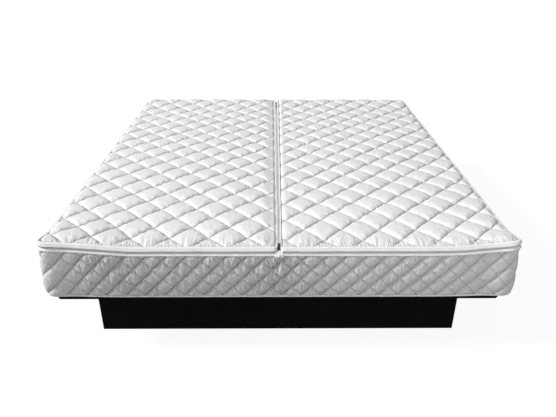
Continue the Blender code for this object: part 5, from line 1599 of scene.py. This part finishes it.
@dataclass(frozen=True)
class QuiltedCloth(Finish):
    """Woven cloth sewn down along diagonal seams, with stitches, fine puckers, and shade painted into its
    creases and fold streaks.
    """

    cell: float = 0.107
    crease: float = 0.004
    painted_seam_shade: float = 0.80
    stitch: float = 0.0032
    weave: float = 900.0
    faint: float = 0.0
    streak: float = 75.0
    streak_depth: float = 0.0022
    painted_streak_shade: float = 0.30

    def streaks(self, graph: Graph) -> Socket:
        """Return narrow folds, from 0 down to -1, that run the way each of the cloth's gathers is marked."""
        marks = graph.split(graph.node("Attribute", {}, "Vector", attribute_name="gathers"))
        parts = []
        for strength, stretch in zip(marks, ((1, 0.15, 0.3), (0.15, 1, 0.3), (1, 1, 0.16))):
            noise = graph.noise(self.streak, 2.0, stretch=stretch)
            fold = graph.math("ABSOLUTE", graph.math("SUBTRACT", noise, 0.5))
            parts.append(graph.math("MULTIPLY", graph.step(fold, 0.0, 0.13, -1.0, 0.0), strength))
        return graph.math("ADD", graph.math("ADD", parts[0], parts[1]), parts[2])

    def make(self, graph: Graph) -> bpy.types.Material:
        """Paint shade into the creases, draw dashed stitches in them, and add weave and puckers."""
        u, v = graph.seams()
        off_u, off_v = (graph.math("MULTIPLY", graph.math("PINGPONG", x, 0.5), self.cell) for x in (u, v))
        # Painted shade: these masks darken the cloth in its seam creases, the first family's fainter by
        # faint, as the light falls along those seams.
        painted_shade_u = graph.step(off_u, 0.0004, self.crease * (1 - self.faint) + 0.001, self.faint, 1.0)
        painted_shade_v = graph.step(off_v, 0.0004, self.crease)
        stitches = []
        for off, along in ((off_u, v), (off_v, u)):
            dash = graph.math("PINGPONG", graph.math("MULTIPLY", along, self.cell / self.stitch), 0.5)
            stitches.append(graph.math("MULTIPLY", graph.step(off, 0.0005, 0.0011, 1.0, 0.0),
                                       graph.step(dash, 0.10, 0.22)))
        thread = graph.math("MAXIMUM", *stitches)
        shade = graph.patches(9.0, to_low=0.975, detail=2.0)
        cloth = self.toned(graph, graph.math("MULTIPLY", painted_shade_u, painted_shade_v), self.painted_seam_shade)
        grey = graph.node("CombineColor", {0: shade, 1: shade, 2: shade})
        cloth = graph.blend(1.0, cloth, grey, "MULTIPLY")
        cloth = graph.blend(graph.math("MULTIPLY", thread, 0.6), cloth, self.colour)
        streaks = self.streaks(graph)
        # Painted shade: the cloth is darkened in the valleys of its fine fold streaks.
        cloth = graph.blend(graph.math("MULTIPLY", streaks, -self.painted_streak_shade), cloth, self.shade(0.55))
        near = graph.math("SUBTRACT", 1.0, graph.step(graph.math("MINIMUM", off_u, off_v), 0.0, 0.030))
        pucker = graph.math("MULTIPLY", graph.noise(70.0, 3.0, 0.6), near)
        bands = {"Vector": graph.place(), "Scale": self.weave}
        waves = [graph.node("TexWave", bands, 1, bands_direction=way) for way in "XY"]
        graph.bump((pucker, 0.0028), (streaks, self.streak_depth), (graph.noise(28.0, 2.0), 0.0022),
                   (thread, 0.0004), (graph.math("MULTIPLY", *waves), 0.00006))
        return graph.dress(Base_Color=cloth, Roughness=self.roughness, Sheen_Weight=0.12, Sheen_Roughness=0.5,
                           Specular_IOR_Level=0.2)


@dataclass(frozen=True)
class Tape(Finish):
    """Folded cotton tape: a fine rib along it and a row of stitches."""

    stitch: float = 0.0030
    stitch_row: float = 0.0195

    def make(self, graph: Graph) -> bpy.types.Material:
        """Draw ribs and stitches on the coordinates along and round the tape, and paint shade into the stitch
        row's trough.
        """
        along, around = graph.seams()
        dash = graph.math("PINGPONG", graph.math("DIVIDE", along, self.stitch), 0.5)
        row = graph.math("ABSOLUTE", graph.math("SUBTRACT", around, self.stitch_row))
        line = graph.step(row, 0.0006, 0.0013, 1.0, 0.0)
        thread = graph.math("MULTIPLY", line, graph.step(dash, 0.08, 0.2))
        painted_trough_shade = graph.step(row, 0.0003, 0.0022)
        rib = graph.math("SINE", graph.math("MULTIPLY", along, 5200.0))
        # Painted shade: the tape is darkened in the trough along its stitch row.
        cloth = graph.blend(painted_trough_shade, self.shade(0.80), self.toned(graph, graph.patches(26.0), 0.93))
        graph.bump((graph.noise(120.0), 0.0008), (thread, 0.0004), (rib, 0.00008))
        return graph.dress(Base_Color=cloth, Roughness=self.roughness, Sheen_Weight=0.1,
                           Specular_IOR_Level=0.2)


@dataclass(frozen=True)
class Moulded(Finish):
    """Moulded plastic: a fine spark-eroded grain and a slight change of tone."""

    patch: float = 60.0
    dark: float = 0.9
    grain: float = 1500.0
    grain_detail: float = 2.0
    grain_depth: float = 0.00006

    def make(self, graph: Graph) -> bpy.types.Material:
        """Grain the surface and vary its tone in patches."""
        graph.bump((graph.noise(self.grain, self.grain_detail), self.grain_depth))
        tone = graph.patches(self.patch, 0.35, 0.65)
        return graph.dress(Base_Color=self.toned(graph, tone, self.dark), Roughness=self.roughness)


@dataclass(frozen=True)
class CoilNylon(Moulded):
    """The zip's nylon, whose tone varies along it."""

    patch: float = 180.0
    dark: float = 0.80
    grain: float = 900.0
    grain_detail: float = 1.0
    grain_depth: float = 0.0001


@dataclass(frozen=True)
class PaintedLightNylon(CoilNylon):
    """The middle zip's nylon: the same grey coil nylon, painted near white as painted light."""


@dataclass(frozen=True)
class BlackBoard(Finish):
    """Melamine board: a fine pressed grain and faint, lighter rubs."""

    def make(self, graph: Graph) -> bpy.types.Material:
        """Press a grain and rub the surface."""
        grain = graph.noise(22.0, 5.0, 0.65, (3.0, 3.0, 60.0))
        rub = graph.patches(3.2, 0.52, 0.72, detail=4.0, stretch=(1, 1, 2.5))
        colour = graph.blend(graph.math("MULTIPLY", rub, 0.35), self.colour, self.shade(1.9))
        colour = graph.blend(graph.step(grain, 0.45, 0.75, 0.0, 0.5), colour, self.shade(1.5))
        graph.bump((grain, 0.0003), (graph.noise(340.0, 2.0), 0.0001))
        rough = self.gloss(graph, 14.0, 0.06, 0.08)
        return graph.dress(Base_Color=colour, Roughness=rough, Specular_IOR_Level=0.02)


@dataclass(frozen=True)
class Timber(Finish):
    """Planed pine: growth rings drawn out along the upright grain."""

    def make(self, graph: Graph) -> bpy.types.Material:
        """Draw the rings as distorted bands with fine pores."""
        upright = (1, 1, 0.12)
        bands = {"Vector": graph.place(upright), "Scale": 55.0, "Distortion": 6.0, "Detail": 3.0}
        ring, pore = graph.node("TexWave", bands, 1), graph.noise(700.0, 2.0, stretch=upright)
        colour = self.toned(graph, ring, 0.72)
        colour = graph.blend(graph.step(pore, 0.55, 0.7, 0.0, 0.4), colour, self.shade(0.5))
        graph.bump((ring, 0.0002), (pore, 0.0001))
        return graph.dress(Base_Color=colour, Roughness=self.roughness)


@dataclass(frozen=True)
class Foam(Finish):
    """Cut foam: open cells and a slow yellowing in patches."""

    cells: float = 650.0

    def make(self, graph: Graph) -> bpy.types.Material:
        """Pit the surface with cells, paint shade into them, and tint it."""
        pits = graph.pits(self.cells)
        colour = self.toned(graph, graph.patches(5.0, 0.35, 0.7), 0.90)
        # Painted shade: the foam is darkened at the bottoms of its open cells.
        colour = graph.blend(graph.step(pits, 0.0, 0.35, 0.35, 0.0), colour, self.shade(0.6))
        graph.bump((graph.noise(40.0), 0.0010), (pits, 0.0006))
        return graph.dress(Base_Color=colour, Roughness=self.roughness, Specular_IOR_Level=0.15)


@dataclass(frozen=True)
class Vinyl(Finish):
    """Calendered vinyl: a fine emboss, soft creases and an uneven gloss."""

    emboss: float = 1400.0
    coat: float = 0.0

    def make(self, graph: Graph) -> bpy.types.Material:
        """Emboss the sheet and cloud its gloss."""
        graph.bump((graph.noise(11.0, 3.0, 0.6), 0.0045), (graph.pits(self.emboss), 0.00012))
        return graph.dress(Base_Color=self.toned(graph, graph.patches(4.0), 0.86),
                           Roughness=self.gloss(graph, 18.0, 0.07, 0.10), Coat_Weight=self.coat)


@dataclass(frozen=True)
class Metal(Finish):
    """Plated metal: tumbled, with its tone and gloss mottled in fine patches."""

    metallic: float = 1.0

    def make(self, graph: Graph) -> bpy.types.Material:
        """Mottle the plating's tone and gloss."""
        graph.bump((graph.noise(2600.0, 2.0), 0.00005))
        return graph.dress(Base_Color=self.toned(graph, graph.patches(700.0, 0.4), 0.7),
                           Roughness=self.gloss(graph, 700.0, 0.08, 0.12), Metallic=self.metallic)


@dataclass(frozen=True)
class Felted(Finish):
    """Felted or fleecy fibre: tufts over a soft mottle."""

    tuft: float = 160.0
    depth: float = 0.003

    def make(self, graph: Graph) -> bpy.types.Material:
        """Raise the tufts and lay fibres over them."""
        tufts = graph.noise(self.tuft, 4.0, 0.7)
        colour = self.toned(graph, graph.step(tufts, 0.35, 0.65), 0.85)
        graph.bump((tufts, self.depth), (graph.noise(900.0, 2.0, stretch=(1, 6, 1)), 0.0003))
        return graph.dress(Base_Color=colour, Roughness=self.roughness, Sheen_Weight=0.2,
                           Specular_IOR_Level=0.1)


@dataclass(frozen=True)
class HeaterFilm(Finish):
    """Laminated heater film: printed tracks that show through as fine lines."""

    track: float = 0.012

    def make(self, graph: Graph) -> bpy.types.Material:
        """Raise the tracks across the film."""
        lane = graph.math("PINGPONG", graph.math("DIVIDE", graph.split(graph.place())[1], self.track), 0.5)
        line = graph.step(lane, 0.30, 0.38)
        graph.bump((line, 0.0003), (graph.noise(90.0), 0.0006))
        colour = graph.blend(line, self.colour, self.shade(1.8))
        return graph.dress(Base_Color=colour, Roughness=self.roughness)


@dataclass(frozen=True)
class ClearWater(Finish):
    """Still water inside its bag."""

    def make(self, graph: Graph) -> bpy.types.Material:
        """Let light through, with a faint ripple."""
        graph.bump((graph.noise(6.0), 0.002))
        return graph.dress(Base_Color=self.colour, Roughness=self.gloss(graph, 3.0, 0.0, 0.03),
                           Transmission_Weight=0.9, IOR=1.33)


PAD_CLOTH = QuiltedCloth("white_quilted_cloth", (0.84, 0.84, 0.845), 0.85, painted_seam_shade=0.66)
# Painted shade: the border is the same white cloth as the pads, painted darker for the shade on its upright
# sides.
SHADE_PAINTED_BORDER_CLOTH = QuiltedCloth("white_border_cloth", (0.73, 0.73, 0.745), 0.85, cell=0.0545, crease=0.0042,
                            painted_seam_shade=0.64, faint=0.5, streak_depth=0.0034, painted_streak_shade=0.18)
WHITE_TAPE = Tape("white_binding_tape", (0.93, 0.93, 0.935), 0.8)
# Painted shade and painted light: the perimeter coils are painted dark grey for the shade in the zip's gap,
# and the middle coils near white for the light on them.
PAINTED_SHADE_NYLON = CoilNylon("grey_zip_coil", (0.20, 0.20, 0.205), 0.5)
PAINTED_LIGHT_NYLON = PaintedLightNylon("grey_zip_coil", (0.93, 0.93, 0.94), 0.5)
BOARD = BlackBoard("black_board", (0.0035, 0.0035, 0.0039), 0.6)
DARK_CLOTH = Felted("dark_base_cloth", (0.05, 0.05, 0.055), 0.9, tuft=500.0, depth=0.0005)
PALE_FOAM = Foam("pale_foam", (0.83, 0.80, 0.66), 0.9)
BLUE_FOAM = Foam("blue_grey_foam", (0.50, 0.58, 0.66), 0.9)
INSULATION = Felted("pale_insulation", (0.78, 0.79, 0.80), 0.8, tuft=90.0, depth=0.001)
FLEECE = Felted("white_fleece", (0.88, 0.89, 0.88), 0.95)
LINER_VINYL = Vinyl("grey_liner_vinyl", (0.35, 0.40, 0.46), 0.38)
CORE_VINYL = Vinyl("blue_core_vinyl", (0.22, 0.42, 0.66), 0.3, coat=0.15)


@dataclass
class RigidParts:
    """The CAD's own rigid nodes, each dressed in the finish of its slot."""

    nodes: dict

    def build(self) -> None:
        """Dress every node whose name starts with a known stem."""
        metal = Metal("dark_zip_metal", (0.10, 0.10, 0.105), 0.35, 0.9)
        white = Moulded("white_valve_plastic", (0.85, 0.86, 0.86), 0.35)
        stems = {
            "plinth_": BOARD, "deck_left": BOARD, "deck_right": BOARD,
            "deck_screw": Metal("zinc_screw", (0.55, 0.55, 0.52), 0.35),
            "corner_block": Timber("plain_pine", (0.62, 0.45, 0.27), 0.65),
            "heater": HeaterFilm("black_heater_film", (0.03, 0.03, 0.035), 0.5),
            "water": ClearWater("water", (0.55, 0.75, 0.85), 0.05),
            "valve_collar": white, "valve_plug": white,
            "valve_cap": Moulded("blue_cap_plastic", (0.07, 0.18, 0.42), 0.35),
            "centre_slider": metal, "centre_pull": metal, "perimeter_slider": metal, "perimeter_pull": metal,
        }
        for name, node in sorted(self.nodes.items()):
            finish = next((finish for stem, finish in stems.items() if name.startswith(stem)), None)
            if finish is None:
                continue
            node.data.materials.clear()
            node.data.materials.append(finish.material())
            LOG.info("%s: dressed as %s", name, finish.slot)


# ---- the studio


@dataclass
class Studio:
    """The camera at the photograph's angle, a pale floor, a white surround and soft lamps."""

    lens: float = 34.42
    place: Triple = (-0.0214, -2.7144, 1.5242)
    pitch: float = 0.46702
    yaw: float = 0.009882
    roll: float = 0.0035677
    floor_half: float = 40.0
    floor_colour: Triple = (0.15, 0.15, 0.15)
    floor_glow: float = 0.90
    ambient: float = 0.22

    def build(self) -> None:
        """Set up the camera, the floor, the surround and the lamps."""
        self.camera()
        self.floor()
        self.surround()
        self.lamp("key_light", (-19.3, -2.0, 14.3), 5.0, 6300.0)
        self.lamp("front_fill", (0.80, -3.5, 1.4), 1.6, 26.5)

    def camera(self) -> None:
        """Place the camera: it looks down by the pitch, turned by the yaw and rolled about its own line."""
        level, down = math.cos(self.pitch), math.sin(self.pitch)
        forward = Vector((math.sin(self.yaw) * level, math.cos(self.yaw) * level, -down))
        right = Vector((math.cos(self.yaw), -math.sin(self.yaw), 0))
        up = right.cross(forward)
        even, tilt = math.cos(self.roll), math.sin(self.roll)
        turned = (even * right + tilt * up, even * up - tilt * right, -forward)
        data = bpy.data.cameras.new("camera")
        data.lens, data.sensor_width, data.clip_start, data.clip_end = self.lens, 36.0, 0.05, 200.0
        camera = link("camera", data)
        camera.matrix_world = Matrix.Translation(Vector(self.place)) @ Matrix(turned).transposed().to_4x4()
        bpy.context.scene.camera = camera

    def floor(self) -> None:
        """Lay the floor: pale, and lifted to white for the rays that only look at it."""
        half = self.floor_half
        corners = np.array([[-half, -half, 0], [half, -half, 0], [half, half, 0], [-half, half, 0]])
        floor = make_piece("floor", corners, [np.arange(4)[None]])
        face_up(floor)
        graph = Graph(bpy.data.materials.new("floor"))
        seen = self.seen(graph)
        graph.put(graph.shader.inputs["Emission Color"], (1.0, 1.0, 1.0, 1.0))
        graph.put(graph.shader.inputs["Emission Strength"], graph.math("MULTIPLY", seen, self.floor_glow))
        floor.data.materials.append(graph.dress(Base_Color=self.floor_colour, Roughness=0.9))

    def seen(self, graph: Graph) -> Socket:
        """Return 1 for rays that look, reflect or pass through, and 0 for those that carry light."""
        path = graph.tree.nodes.new("ShaderNodeLightPath").outputs
        looks = graph.math("MAXIMUM", path["Is Camera Ray"], path["Is Glossy Ray"])
        return graph.math("MAXIMUM", looks, path["Is Transmission Ray"])

    def surround(self) -> None:
        """Surround the scene: white where it is looked at, a plain grey level of light elsewhere."""
        graph = Graph(bpy.data.worlds.new("surround"))
        bpy.context.scene.world = graph.made
        strength = graph.math("MULTIPLY_ADD", self.seen(graph), 1.0 - self.ambient, self.ambient)
        graph.dress(Color=(1.0, 1.0, 1.0), Strength=strength)
        bpy.context.scene.view_settings.view_transform = "Standard"

    def lamp(self, name: str, place: Triple, size: float, watts: float) -> None:
        """Hang a square area lamp that faces the bed.

        Args:
            name: The lamp's name.
            place: Where it hangs.
            size: Its side.
            watts: Its power.
        """
        data = bpy.data.lights.new(name, "AREA")
        data.size, data.energy = size, watts
        lamp = link(name, data)
        lamp.location = place
        lamp.rotation_euler = (Vector((0, 0, 0.4)) - Vector(place)).to_track_quat("-Z", "Y").to_euler()


def main() -> None:
    """Load the frame, build and dress every sub-assembly."""
    logging.basicConfig(level=logging.INFO, format="%(message)s")
    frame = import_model()
    Studio().build()
    pad_cells = SewnCells("pad_cells", pitch_x=0.150, pitch_y=0.1525, slack_x=0.070, slack_y=0.060,
                          pressure=4.0, fullness=1.9)
    border_cells = SewnCells("border_cells", pitch_x=0.0755, pitch_y=0.0785, slack_x=0.110, slack_y=0.040,
                             pressure=5.0, fullness=2.2, points=21)
    QuiltedTop(Side.LEFT, pad_cells, Quilting(0.150, 0.1525, 0.044, 0.0615), PAD_CLOTH, low_x=0.0126,
               widening=0.0032, inner_roll=0.008, inner_share=0.35, groove=0.0026).build()
    QuiltedTop(Side.RIGHT, pad_cells, Quilting(0.1475, 0.1525, 0.100, 0.0425), PAD_CLOTH, low_x=0.0104,
               widening=0.0030, inner_roll=0.022, inner_share=1.0, groove=0.0085).build()
    QuiltedBorder(border_cells, SHADE_PAINTED_BORDER_CLOTH).build()
    Edging(WHITE_TAPE, WHITE_TAPE).build()
    EndTab(WHITE_TAPE).build()
    ZipCoils(PAINTED_SHADE_NYLON, PAINTED_LIGHT_NYLON).build()
    Surround(PALE_FOAM, BLUE_FOAM, INSULATION).build()
    LaidSheets(LINER_VINYL, DARK_CLOTH).build()
    for side in Side:
        WaterCore(side, CORE_VINYL, FLEECE).build()
    RigidParts(frame["nodes"]).build()


if __name__ == "__main__":
    main()
